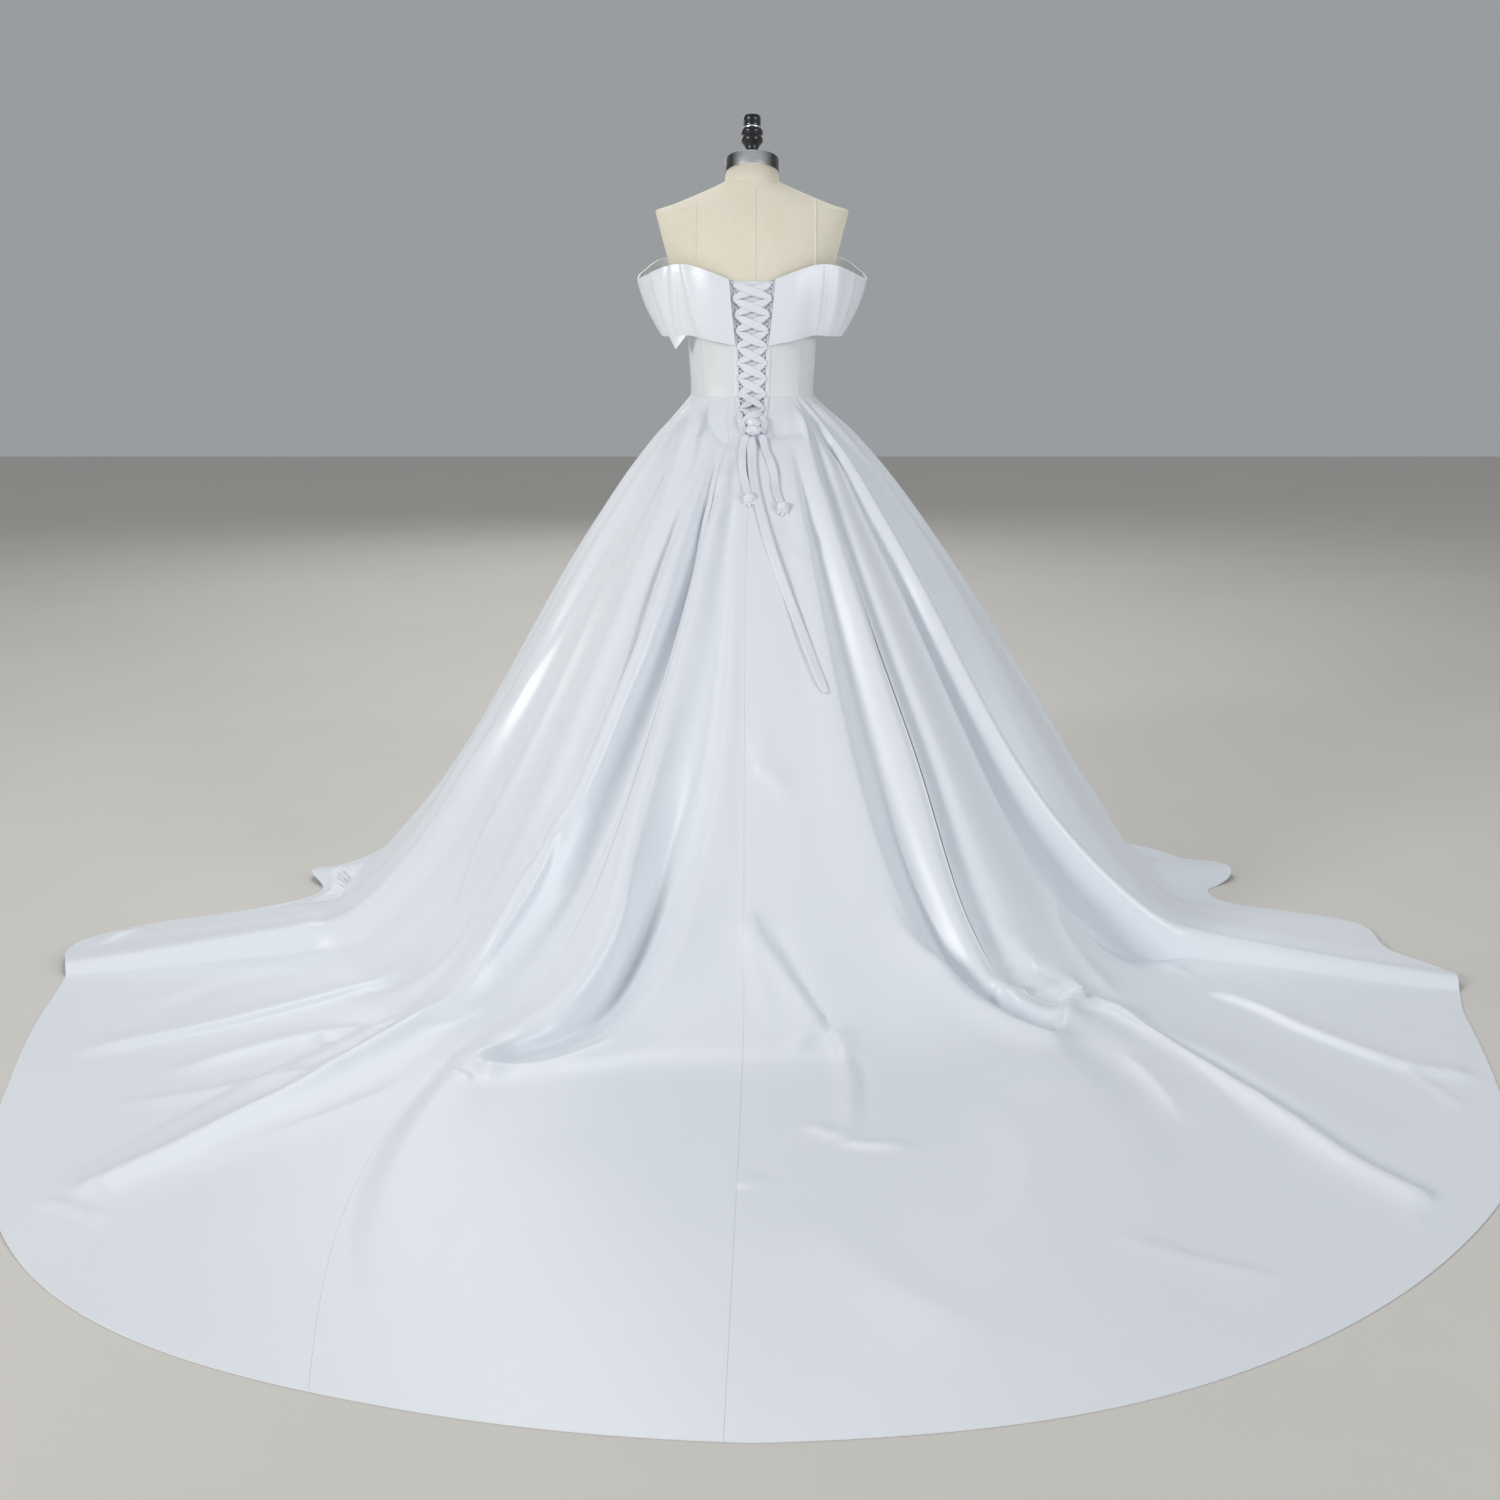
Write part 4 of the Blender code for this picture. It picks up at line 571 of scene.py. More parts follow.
def skirt_grid(first, columns, rows):
    """Underside points of the skirt from one fold on, with its creases."""
    places = np.concatenate([
        first + number + np.arange(count) / count for number, count in enumerate(columns)
    ] + [[first + len(columns)]])
    floor_azimuth = fold_grid(places, np.full((1, len(places)), FLOOR_LEVEL))[0][0]
    train = hem_reach(floor_azimuth) - FLOOR_REACH
    length = HANG_LENGTH + train
    down = np.linspace(0, 1, rows)[:, None] * length[None, :]
    levels = np.where(down < HANG_LENGTH, down / HANG_LENGTH, 1 + (down - HANG_LENGTH) / train)
    azimuth, rise = fold_grid(places, levels)
    azimuth = part_back(azimuth, levels)
    reach, height, slope = cone(azimuth, levels)
    size = np.hypot(slope, 1)
    reach, height = reach + rise * slope / size, np.maximum(height + rise / size, 0)
    turn = np.radians(azimuth)
    points = np.stack([reach * np.sin(turn), reach * np.cos(turn), height], axis=-1)
    normals = grid_normals(points)
    points += normals * (crease_lift(points) * ease(down / WAIST_FADE))[..., None]
    points[..., 2] = np.clip(points[..., 2], 0.0, None)
    points[0, :, 2] = WAIST_HEIGHT - GAP
    for edge, beside in ((0, 1), (-1, -2)):
        across = points[:, beside] - points[:, edge]
        across[:, 2] = 0
        points[:, edge] += unit(across) * GAP * 0.4
    return points


# Materials


class Value:
    """A socket of a material, so that sums on it add their Math nodes."""

    def __init__(self, look, socket):
        self.look, self.socket = look, socket

    def math(self, operation, *others):
        return self.look.node("ShaderNodeMath", {"operation": operation},
                              {i: value for i, value in enumerate((self, *others))})

    def __add__(self, other):
        return self.math("ADD", other)

    def __mul__(self, other):
        return self.math("MULTIPLY", other)

    def __sub__(self, other):
        return self.math("SUBTRACT", other)

    def __rsub__(self, other):
        return self.math("MULTIPLY", -1.0) + other

    __radd__, __rmul__ = __add__, __mul__


class Look:
    """A procedural material on the Principled shader."""

    def __init__(self, name, **constants):
        self.material = bpy.data.materials.new(name)
        self.material.use_nodes = True
        self.tree = self.material.node_tree
        self.shader = self.tree.nodes["Principled BSDF"]
        for socket, value in constants.items():
            self.shader.inputs[socket.replace("_", " ").title().replace("Ior", "IOR")].default_value = value
        self.place = self.node("ShaderNodeTexCoord", {}, {}, "Object")

    def node(self, kind, settings, inputs, output=0):
        made = self.tree.nodes.new(kind)
        for name, value in settings.items():
            setattr(made, name, value)
        for socket, value in inputs.items():
            self.feed(made.inputs[socket], value)
        return Value(self, made.outputs[output])

    def feed(self, socket, value):
        if isinstance(value, Value):
            self.tree.links.new(value.socket, socket)
        else:
            socket.default_value = value

    def noise(self, scale, detail=3.0, rough=0.5, stretch=(1, 1, 1)):
        place = self.node("ShaderNodeMapping", {}, {"Vector": self.place, "Scale": stretch})
        return self.node("ShaderNodeTexNoise", {}, {
            "Vector": place, "Scale": scale, "Detail": detail, "Roughness": rough}, "Fac")

    def waves(self, scale, direction, distortion):
        return self.node("ShaderNodeTexWave", {"bands_direction": direction}, {
            "Vector": self.place, "Scale": scale, "Distortion": distortion}, "Fac")

    def mix(self, factor, low, high):
        made = self.tree.nodes.new("ShaderNodeMix")
        made.data_type = "RGBA"
        self.feed(made.inputs["Factor"], factor)
        for socket, value in zip([s for s in made.inputs if s.type == "RGBA"], (low, high)):
            self.feed(socket, (*value, 1))
        return Value(self, [s for s in made.outputs if s.type == "RGBA"][0])

    def colour(self, factor, low, high):
        self.feed(self.shader.inputs["Base Color"], self.mix(factor, low, high))

    def roughness(self, value):
        self.feed(self.shader.inputs["Roughness"], value)

    def bump(self, height, distance, strength):
        made = self.node("ShaderNodeBump", {}, {
            "Height": height, "Distance": distance, "Strength": strength}, "Normal")
        self.feed(self.shader.inputs["Normal"], made)


def satin_look(name, low, high, gloss=0.33):
    """Heavy duchess satin: smooth, with a broad sheen and a fine thread grain."""
    look = Look(name, specular_ior_level=0.55, sheen_weight=0.12, sheen_roughness=0.35)
    cloud = look.noise(3.2, 4.0, 0.55)
    grain = look.noise(900, 2.0, 0.6, (1, 1, 0.18))
    look.colour(cloud * 0.8 + grain * 0.2, low, high)
    look.roughness(cloud * 0.08 + grain * 0.05 + (gloss - 0.065))
    soft = look.noise(38, 3.0, 0.5)
    look.bump(soft * 0.75 + grain * 0.25, 0.0006, 0.35)
    return look.material


def linen_look(name, low, high):
    """Plain-woven linen, with slubs."""
    look = Look(name, specular_ior_level=0.25)
    cloud = look.noise(9, 4.0, 0.6)
    warp, weft = look.waves(520, "X", 1.2), look.waves(520, "Z", 1.2)
    slub = look.noise(160, 3.0, 0.6, (1, 1, 0.25))
    look.colour(cloud * 0.55 + slub * 0.45, low, high)
    look.roughness(slub * 0.1 + 0.82)
    look.bump(warp * 0.4 + weft * 0.4 + slub * 0.4, 0.0005, 0.5)
    return look.material


def steel_look(name, low, high, rough):
    """Turned steel: fine rings, and a painted reflection: a bright band painted down the middle of its
    colour, with painted shade towards the sides.
    """
    look = Look(name, metallic=1.0)
    brush = look.noise(60, 3.0, 0.6, (1, 1, 14))
    # Painted reflection and painted shade: the colour is brightest near X = 0 and darkens towards the sides
    across = look.node("ShaderNodeSeparateXYZ", {}, {0: look.place}, "X") * 30
    look.colour((1.15 - across * across) * 0.75 + brush * 0.25, low, high)
    look.roughness(brush * 0.18 + rough)
    look.bump(brush, 0.0002, 0.3)
    return look.material


def plastic_look():
    look = Look("Black plastic", specular_ior_level=0.5, coat_weight=0.5, coat_roughness=0.12)
    speck = look.noise(420, 3.0, 0.6)
    wear = look.noise(40, 4.0, 0.6)
    look.colour(wear, (0.003, 0.003, 0.005), (0.010, 0.010, 0.014))
    look.roughness(wear * 0.12 + 0.22)
    look.bump(speck, 0.0002, 0.3)
    return look.material


def iron_look():
    look = Look("Painted iron", metallic=0.3)
    pits = look.noise(180, 4.0, 0.6)
    look.colour(pits, (0.02, 0.02, 0.02), (0.06, 0.06, 0.06))
    look.roughness(pits * 0.2 + 0.42)
    look.bump(pits, 0.0006, 0.5)
    return look.material


def floor_look():
    """A plain matt floor."""
    look = Look("Pale floor", specular_ior_level=0.2)
    cloud = look.noise(1.5, 4.0, 0.6)
    look.colour(cloud, (0.66, 0.63, 0.58), (0.72, 0.69, 0.64))
    look.roughness(cloud * 0.1 + 0.6)
    return look.material


LOOKS = {
    "satin": satin_look("White satin", (0.80, 0.83, 0.88), (0.86, 0.885, 0.93)),
    "bodice_satin": satin_look("Bodice satin", (0.74, 0.76, 0.77), (0.80, 0.82, 0.83), 0.42),
    "ribbon": satin_look("Satin ribbon", (0.78, 0.79, 0.86), (0.86, 0.875, 0.94), 0.36),
    "linen": linen_look("Linen cover", (0.80, 0.73, 0.57), (0.93, 0.88, 0.75)),
    # A lighter copy of the linen for the seam cords: a painted highlight, so that the raised cords read
    # bright rather than shaded
    "seam": linen_look("Linen seam cord", (0.88, 0.84, 0.72), (0.95, 0.92, 0.84)),
    # Its dark and bright colours are the painted shade at the sides and the painted reflection down the
    # middle
    "brushed_steel": steel_look("Brushed steel", (0.10, 0.10, 0.10), (0.95, 0.95, 0.95), 0.22),
    "black_plastic": plastic_look(),
    "painted_iron": iron_look(),
}


# Building

CLOTH_ANGLE, TURNED_ANGLE = 60, 35  # edges sharper than this stay sharp, in degrees


def start_clean():
    if bpy.context.mode != "OBJECT":
        bpy.ops.object.mode_set(mode="OBJECT")
    bpy.ops.object.select_all(action="DESELECT")


def pick(piece):
    """Selects one piece alone and makes it active."""
    start_clean()
    piece.select_set(True)
    bpy.context.view_layer.objects.active = piece


def corners(piece):
    """The places of a mesh's corners, a row each."""
    places = np.empty(len(piece.data.vertices) * 3)
    piece.data.vertices.foreach_get("co", places)
    return places.reshape(-1, 3)


def set_corners(piece, places):
    piece.data.vertices.foreach_set("co", places.reshape(-1))
    piece.data.update()


def dress_piece(piece, slot, *nodes):
    """What every piece of the object needs: its finish, its body and the nodes it stands for."""
    piece.data.materials.clear()
    piece.data.materials.append(LOOKS[slot])
    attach(piece, "root")
    if nodes:
        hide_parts(*nodes)
    return piece


def grid_piece(name, points, thickness=0.0, smooth=True):
    """A sheet: a grid shaped to rows of points, rows from the top down and columns clockwise."""
    rows, columns = points.shape[:2]
    start_clean()
    bpy.ops.mesh.primitive_grid_add(x_subdivisions=columns - 1, y_subdivisions=rows - 1, size=1)
    piece = bpy.context.object
    piece.name = piece.data.name = name
    flat = corners(piece)
    column = columns - 1 - np.rint((flat[:, 0] + 0.5) * (columns - 1)).astype(int)
    row = rows - 1 - np.rint((flat[:, 1] + 0.5) * (rows - 1)).astype(int)
    set_corners(piece, points[row, column])
    if thickness:
        wall = piece.modifiers.new("Cloth", "SOLIDIFY")
        wall.thickness = thickness
        wall.offset = 1.0
        bpy.ops.object.modifier_apply(modifier=wall.name)
    if smooth:
        bpy.ops.object.shade_smooth_by_angle(angle=math.radians(CLOTH_ANGLE))
    return piece


def closed_piece(name, points, smooth=True):
    """A closed body: a sheet whose first and last columns meet, with its two ends filled."""
    piece = grid_piece(name, points, smooth=smooth)
    pick(piece)
    bpy.ops.object.mode_set(mode="EDIT")
    bpy.ops.mesh.select_all(action="SELECT")
    bpy.ops.mesh.remove_doubles(threshold=0.00001)
    bpy.ops.mesh.fill_holes(sides=0)
    bpy.ops.mesh.normals_make_consistent(inside=False)
    bpy.ops.object.mode_set(mode="OBJECT")
    return piece


def add_skirt():
    names = [fold.name for fold in FOLDS]
    for panel in PANELS:
        points = skirt_grid(names.index(panel.start), panel.columns, panel.rows)
        piece = grid_piece(panel.name + "_satin", points, SATIN)
        dress_piece(piece, "satin", panel.name)


def back_point(x, height, out):
    """Points over the middle of the back, out from the inner side of bodice and skirt."""
    x, height, out = np.broadcast_arrays(*(np.asarray(value, float) for value in (x, height, out)))
    reach = CLEARANCE + out
    on_form = form_point(height, form_angle(height, x, reach), reach)
    azimuth = np.zeros(x.shape)
    for _ in range(3):
        low, high = np.zeros(x.shape), np.full(x.shape, 0.4)
        for _ in range(16):
            middle = (low + high) / 2
            above = cone(azimuth, middle)[1] > height
            low, high = np.where(above, middle, low), np.where(above, high, middle)
        far = cone(azimuth, low)[0]
        azimuth = np.degrees(np.arcsin(x / far))
    on_skirt = np.stack([x, np.sqrt(far**2 - x**2) + out * 0.7, height + out * 0.7], axis=-1)
    return np.where((height >= WAIST_HEIGHT)[..., None], on_form, on_skirt)


def back_normal(x, height):
    step = 0.002
    across = back_point(x + step, height, 0) - back_point(x - step, height, 0)
    down = back_point(x, height - step, 0) - back_point(x, height + step, 0)
    return unit(np.cross(across, down))


# Top edge of the bodice as angle round the form and height, its seams, and its bones, which stand at
# places counted in sixtieths of a piece
BODICE_TOP = ((0, 1.228), (20, 1.234), (50, 1.244), (90, 1.214), (130, 1.258), (180, 1.240))
BACK_SEAM, SIDE_SEAM, SEAM_REACH = 50, 112, 0.12
BONE_RISE, BONE_WIDTH, BONE_PARTS = 0.0004, 2.2, 60
BODICE_LIFT, PULL_RISE = 0.0004, 0.0005


def bodice_top(angle):
    angles, heights = zip(*BODICE_TOP)
    return curve(angles, heights, np.minimum(np.abs(angle), 180))


def add_bodice():
    seam = math.degrees(GAP / 2 / SEAM_REACH)

    def edge(side):
        return lambda height: side * form_angle(height, opening_half(height), CLEARANCE)

    def line(angle):
        return lambda height: angle

    pieces = (
        ("bodice_back_left", edge(1), line(BACK_SEAM - seam), 40, (0.095, 0.226), (6, 34)),
        ("bodice_side_left", line(BACK_SEAM + seam), line(SIDE_SEAM - seam), 40, (0.146, 0.226), (26,)),
        ("bodice_front", line(SIDE_SEAM + seam), line(360 - SIDE_SEAM - seam), 80, (0.362, 0.243), (40,)),
        ("bodice_side_right", line(seam - SIDE_SEAM), line(-BACK_SEAM - seam), 40, (0.146, 0.226), (26,)),
        ("bodice_back_right", line(seam - BACK_SEAM), edge(-1), 40, (0.095, 0.226), (6, 34)),
    )
    down = np.linspace(0, 1, 70)[:, None]
    for name, start, end, columns, flat, bones in pieces:
        share = np.linspace(0, 1, columns)[None, :]
        top = bodice_top(start(WAIST_HEIGHT) * (1 - share) + end(WAIST_HEIGHT) * share)
        height = top + (WAIST_HEIGHT + GAP - top) * down
        angle = start(height) * (1 - share) + end(height) * share
        bone = sum(np.exp(-(((share * BONE_PARTS - place) / BONE_WIDTH) ** 2)) for place in bones)
        pull = PULL_RISE * np.sin(9 * down + 5 * share) * np.sin(math.pi * share)
        points = form_point(height, angle, CLEARANCE + BODICE_LIFT + BONE_RISE * bone + pull)
        piece = grid_piece(name + "_satin", points, SATIN)
        dress_piece(piece, "bodice_satin", name)


# The modesty panel: its top, its foot under the skirt, half its width, and how far it lies inside
MODESTY_TOP, MODESTY_FOOT, MODESTY_HALF, MODESTY_DEPTH = 1.236, 0.966, 0.047, 0.0018


def add_modesty_panel():
    above = np.linspace(MODESTY_TOP, WAIST_HEIGHT, 60)
    heights = np.r_[above, np.linspace(WAIST_HEIGHT - 0.003, MODESTY_FOOT, 16)][:, None]
    x = np.linspace(-MODESTY_HALF, MODESTY_HALF, 30)[None, :]
    deeper = np.minimum(np.maximum(WAIST_HEIGHT - heights, 0) * 0.2, 0.003)
    crumple = 0.0004 * np.sin(heights * 210 + 30 * x) * np.cos(x * 60)
    points = back_point(x, heights, -MODESTY_DEPTH - deeper + crumple)
    piece = grid_piece("modesty_panel_satin", points, 0.001)
    dress_piece(piece, "satin", "modesty_panel")


def band_point(place, down, out, side):
    """Points of the band: place counts stations, down goes from 0 at the top to 1."""
    place, down, out = np.broadcast_arrays(*(np.asarray(value, float) for value in (place, down, out)))
    knots, table, step = range(len(BAND)), np.array(BAND), 0.05
    here = np.stack([curve(knots, table[:, i], place) for i in range(6)], axis=-1)
    before, after = np.maximum(place - step, 0), np.minimum(place + step, len(BAND) - 1)
    along = [curve(knots, table[:, i], after) - curve(knots, table[:, i], before) for i in range(2)]
    outward = unit(np.stack([-along[1], along[0], np.zeros(place.shape)], axis=-1))
    down, out = down[..., None], out[..., None]
    points = here[..., :3] * (1 - down) + here[..., 3:] * down
    points = points + outward * (BAND_BULGE * np.sin(math.pi * down) + out)
    return points * np.array([side, 1, 1])


# Where the band's parts meet, in stations, and the part that hangs below its left side
SLEEVE_START, SLEEVE_END, STATION_LENGTH = 2.5, 7.5, 0.05
TIP_START, TIP_END, TIP_DROP, TIP_LIFT = 2.25, 3.4, (0.004, 0.004, -0.026), 0.0012

# Folds pressed into the band: place along it at the top and at the bottom, rise, width to either side
BandFold = namedtuple("BandFold", "side top low rise before after")
BAND_FOLDS = (
    BandFold(1, 2.25, 1.55, 0.0045, 0.35, 0.06),
    BandFold(1, 2.95, 2.95, -0.0030, 0.10, 0.14),
    BandFold(1, 3.8, 3.3, 0.0030, 0.30, 0.10),
    BandFold(-1, 2.2, 2.1, 0.0016, 0.25, 0.12),
    BandFold(-1, 3.1, 2.9, 0.0018, 0.20, 0.30),
    BandFold(-1, 3.9, 3.6, 0.0025, 0.20, 0.12),
    BandFold(1, 5.6, 5.8, 0.0030, 0.25, 0.15),
    BandFold(-1, 5.7, 5.5, 0.0030, 0.20, 0.20),
    BandFold(1, 8.2, 7.9, 0.0030, 0.25, 0.20),
    BandFold(-1, 8.0, 8.3, 0.0030, 0.20, 0.25),
)


def band_lift(place, down, side):
    lift = np.zeros(np.broadcast_shapes(place.shape, down.shape))
    for fold in BAND_FOLDS:
        if fold.side == side:
            away = place - (fold.top * (1 - down) + fold.low * down)
            width = np.where(away < 0, fold.before, fold.after)
            fade = np.sin(math.pi * np.minimum(down * 0.9 + 0.1, 1)) ** 0.5
            lift += fold.rise * np.exp(-((away / width) ** 2)) * fade
    return lift


def add_band():
    seam, last = GAP / 2 / STATION_LENGTH, len(BAND) - 1

    def sheet_points(start, end, columns, side):
        place, down = np.linspace(start, end, columns)[None, :], np.linspace(0, 1, 36)[:, None]
        roll = 0.0012 * (np.exp(-((down / 0.05) ** 2)) + np.exp(-(((1 - down) / 0.04) ** 2)))
        return band_point(place, down, band_lift(place, down, side) - roll, side)

    for word, side in (("left", 1), ("right", -1)):
        for part, start, end, columns, flat in (
            ("back", 0.0, SLEEVE_START, 50, (0.113, 0.134)),
            ("sleeve", SLEEVE_START + seam, SLEEVE_END, 90, (0.272, 0.134)),
        ):
            points = sheet_points(start, end - seam, columns, side)
            points = points if side > 0 else points[:, ::-1]
            piece = grid_piece(f"band_{part}_{word}_satin", points, BAND_THICKNESS * 0.8)
            dress_piece(piece, "satin", f"band_{part}_{word}")
    left, right = (sheet_points(SLEEVE_END + seam, last, 50, side) for side in (1, -1))
    points = np.concatenate([left, right[:, ::-1][:, 1:]], axis=1)
    piece = grid_piece("band_front_satin", points, BAND_THICKNESS * 0.8)
    dress_piece(piece, "satin", "band_front")


def add_band_tip():
    """The pointed end of the band's lining fold, hanging below its left side."""
    near, far = (band_point(place, 1.0, TIP_LIFT, 1) for place in (TIP_START, TIP_END))
    tip = (near + far) / 2 + np.array(TIP_DROP)
    place, down = np.linspace(TIP_START, TIP_END, 18), np.linspace(0, 0.96, 14)[:, None, None]
    edge = band_point(place, 1.0, TIP_LIFT, 1) - np.array([0, 0, 0.0006])
    points = edge * (1 - down) + tip * down
    piece = grid_piece("band_tip_satin", points, 0.0012)
    dress_piece(piece, "satin", "band_tip")


# Lacing


def lace_route(side):
    """Distance from the middle, height, share of a crossing and lift along one lace."""
    turning = (UPPER_LIFT + LOWER_LIFT) / 2
    spots = []
    for crossing in range(LACE_CROSSINGS):
        top = LACE_TOP - LACE_PITCH * crossing
        start = side * (1 if crossing % 2 == 0 else -1)
        reach = opening_half(top - LACE_PITCH / 2) - LACE_INSET
        level = UPPER_LIFT if start > 0 else LOWER_LIFT
        for share in np.linspace(0, 1, 9):
            height = top - LACE_TURN - (LACE_PITCH - 2 * LACE_TURN) * share
            middle = math.sin(math.pi * share)
            lift = turning + (level - turning) * middle
            spots.append((start * reach * (1 - 2 * share), height, middle, lift))
        if crossing < LACE_CROSSINGS - 1:
            turn_reach = opening_half(top - LACE_PITCH) - LACE_INSET
            for turn in (-math.pi / 4, 0, math.pi / 4):
                spots.append((-start * (turn_reach + LACE_TURN * math.cos(turn)),
                              top - LACE_PITCH - LACE_TURN * math.sin(turn), 0.0, turning))
    return spots


def add_laces():
    for name, side in LACES:
        spots = lace_route(side)
        x, height, middle, lift = np.array(spots).T
        normals = back_normal(x, height)
        path = back_point(x, height, 0) + normals * lift[:, None]
        along = unit(np.gradient(path, axis=0))
        across = unit(np.cross(along, normals))
        row, at = np.arange(len(spots))[:, None], np.linspace(1, -1, 11)[None, :]
        half = LACE_HALF + LACE_SPREAD * np.maximum(middle, 0)[:, None] ** 0.5
        cup = LACE_CUP * (1 - at**4) - LACE_GROOVE * np.exp(-((at / 0.2) ** 2))
        cup = cup + LACE_RIPPLE * np.sin(3 * row + 2 * at)
        points = path[:, None] + across[:, None] * (half * at)[..., None] + normals[:, None] * cup[..., None]
        piece = grid_piece(name + "_ribbon", points, LACE_THICKNESS)
        dress_piece(piece, "ribbon", name)


def tube_piece(name, path, radius):
    """A round thread along a path: a curve with a bevel and filled ends, made a mesh."""
    start_clean()
    bpy.ops.curve.primitive_nurbs_path_add()
    piece = bpy.context.object
    piece.name = piece.data.name = name
    data = piece.data
    data.splines.clear()
    spline = data.splines.new("POLY")
    spline.points.add(len(path) - 1)
    for spot, point in zip(spline.points, path):
        spot.co = (*point, 1)
    data.dimensions = "3D"
    data.bevel_depth = radius
    data.bevel_resolution = 2
    data.use_fill_caps = True
    bpy.ops.object.convert(target="MESH")
    piece = bpy.context.object
    bpy.ops.object.shade_smooth()
    return piece


def add_loops():
    """The thread loops that hold the lace along each edge of the opening, and their strip."""
    for word, side in (("left", 1), ("right", -1)):
        height = np.linspace(STRIP_TOP, STRIP_FOOT, 100)[:, None]
        at = np.linspace(0, 1, 6)[None, :]
        x = side * (opening_half(height) + STRIP_EDGE + STRIP_WIDTH * at)
        lift = STRIP_LIFT + STRIP_SWELL * np.sin(math.pi * at)
        rows = back_point(x, height, 0) + back_normal(x, height) * lift[..., None]
        rows = rows if side > 0 else rows[:, ::-1]
        strip = grid_piece(f"loop_tape_{word}_satin", rows, STRIP_THICKNESS)
        dress_piece(strip, "ribbon", f"loop_tape_{word}")
        middle = LACE_TOP - LOOP_START - LACE_PITCH / 2 * np.arange(2 * LACE_CROSSINGS)[:, None]
        turn = np.radians(np.linspace(-100, 100, 13))[None, :]
        height = middle + LOOP_RISE * np.sin(turn)
        x = side * (opening_half(middle) + LOOP_EDGE - LOOP_REACH * np.maximum(np.cos(turn), -0.2))
        paths = back_point(x, height, 0) + back_normal(x, height) * LOOP_LIFT
        loops = [tube_piece(f"loop_{word}_{number}", path, LOOP_RADIUS) for number, path in enumerate(paths)]
        dress_piece(join_as(f"lace_loops_{word}", loops), "ribbon")


def join_as(name, parts):
    start_clean()
    for part in parts:
        part.select_set(True)
    bpy.context.view_layer.objects.active = parts[0]
    bpy.ops.object.join()
    joined = bpy.context.object
    joined.name = joined.data.name = name
    return joined


LUMP_CORE, WRAP_RISE, OTHER_WRAP_RISE = 0.80, 0.16, 0.12


def ribbon_lump(name, place, size, turn, seed):
    """A tight lump of ribbon: a ball with the ridges of its wraps."""
    start_clean()
    bpy.ops.mesh.primitive_uv_sphere_add(segments=48, ring_count=28, radius=0.5)
    piece = bpy.context.object
    piece.name = piece.data.name = name
    points = corners(piece)
    round_it = np.arctan2(points[:, 2], points[:, 0])
    up = points[:, 1] * 2
    wraps = np.abs(np.sin(1.5 * round_it + 2.2 * up + seed))
    other_wraps = np.abs(np.sin(1.5 * round_it - 2.6 * up + 2 * seed))
    points *= (LUMP_CORE + WRAP_RISE * wraps**0.7 + OTHER_WRAP_RISE * other_wraps**0.7)[:, None]
    points *= np.array(size)
    set_corners(piece, points @ np.array(Matrix.Rotation(turn, 3, "Z")).T + np.array(place))
    bpy.ops.object.shade_smooth()
    return piece


# A lace end's cross-section, in shares of its diameter, and how it narrows, leans and grooves
RIBBON_SIDES, RIBBON_WIDE, RIBBON_THICK = 20, 0.74, 0.18
END_WIDTH, TAPER_ROWS = 0.55, 3
LEAN, LEAN_WAVE, WIDTH_WAVE, GROOVE, GROOVE_WIDTH = 0.22, 0.11, 0.21, 0.45, 0.35


def ribbon_tube(name, path, diameter):
    """A lace end: a flattened, slightly twisted roll of satin, closed at both ends."""
    along = unit(np.gradient(path, axis=0))
    outward = unit(path * np.array([1, 1, 0]) + np.array([0, 0, 0.02]))
    outward = unit(outward - along * np.sum(outward * along, axis=1, keepdims=True))
    across = np.cross(along, outward)
    row = np.arange(len(path))[:, None]
    angle = np.linspace(0, 2 * math.pi, RIBBON_SIDES + 1)[None, :]
    from_end = np.minimum(row, len(path) - 1 - row)
    taper = np.minimum(1.0, END_WIDTH + (1 - END_WIDTH) * from_end / TAPER_ROWS)
    lean = LEAN * np.sin(LEAN_WAVE * row)
    groove = 1 - GROOVE * np.exp(-(((angle - math.pi / 2) / GROOVE_WIDTH) ** 2))
    wide = np.cos(angle) * diameter * RIBBON_WIDE * taper * (1 + 0.04 * np.sin(WIDTH_WAVE * row))
    thick = np.sin(angle) * diameter * RIBBON_THICK * taper * groove
    sideways = (wide * np.cos(lean) - thick * np.sin(lean))[..., None]
    outwards = (wide * np.sin(lean) + thick * np.cos(lean))[..., None]
    points = path[:, None] + across[:, None] * sideways + outward[:, None] * outwards
    # Turned both ways, so that the mesh's corners are counted from the path's start
    piece = closed_piece(name, points[::-1, ::-1], smooth=False)
    bpy.ops.object.shade_smooth()
    return piece


# The knots at the lace ends, and the tips of ribbon that hang from each
END_KNOT_SIZE, FRAY_WIDTH = (0.023, 0.016, 0.021), 0.0050
FRAYS = ((0.0095, 0.003, -0.013), (0.001, 0.005, -0.017), (-0.0085, 0.004, -0.012))


def end_knot(name, place):
    """The knot at a lace's end, with the frayed tips of its ribbon under it."""
    place = np.array(place)
    parts = [ribbon_lump(name + "_ball", place, END_KNOT_SIZE, 0.3, 2.0 + place[0] * 30)]
    for number, fray in enumerate(FRAYS):
        fray = np.array(fray)
        path = path_curve((place, place + fray * 0.6, place + fray + (0.001, 0.001, 0)), 12)
        parts.append(ribbon_tube(f"{name}_fray_{number}", path, FRAY_WIDTH))
    return dress_piece(join_as(name + "_ribbon", parts), "ribbon", name)


def add_tails():
    knots = {name: end_knot(name, place) for name, place in END_KNOTS.items()}
    for tail in TAILS:
        path = path_curve(tail.path, 80)
        piece = dress_piece(ribbon_tube(tail.name + "_ribbon", path, tail.diameter), "ribbon", tail.name)


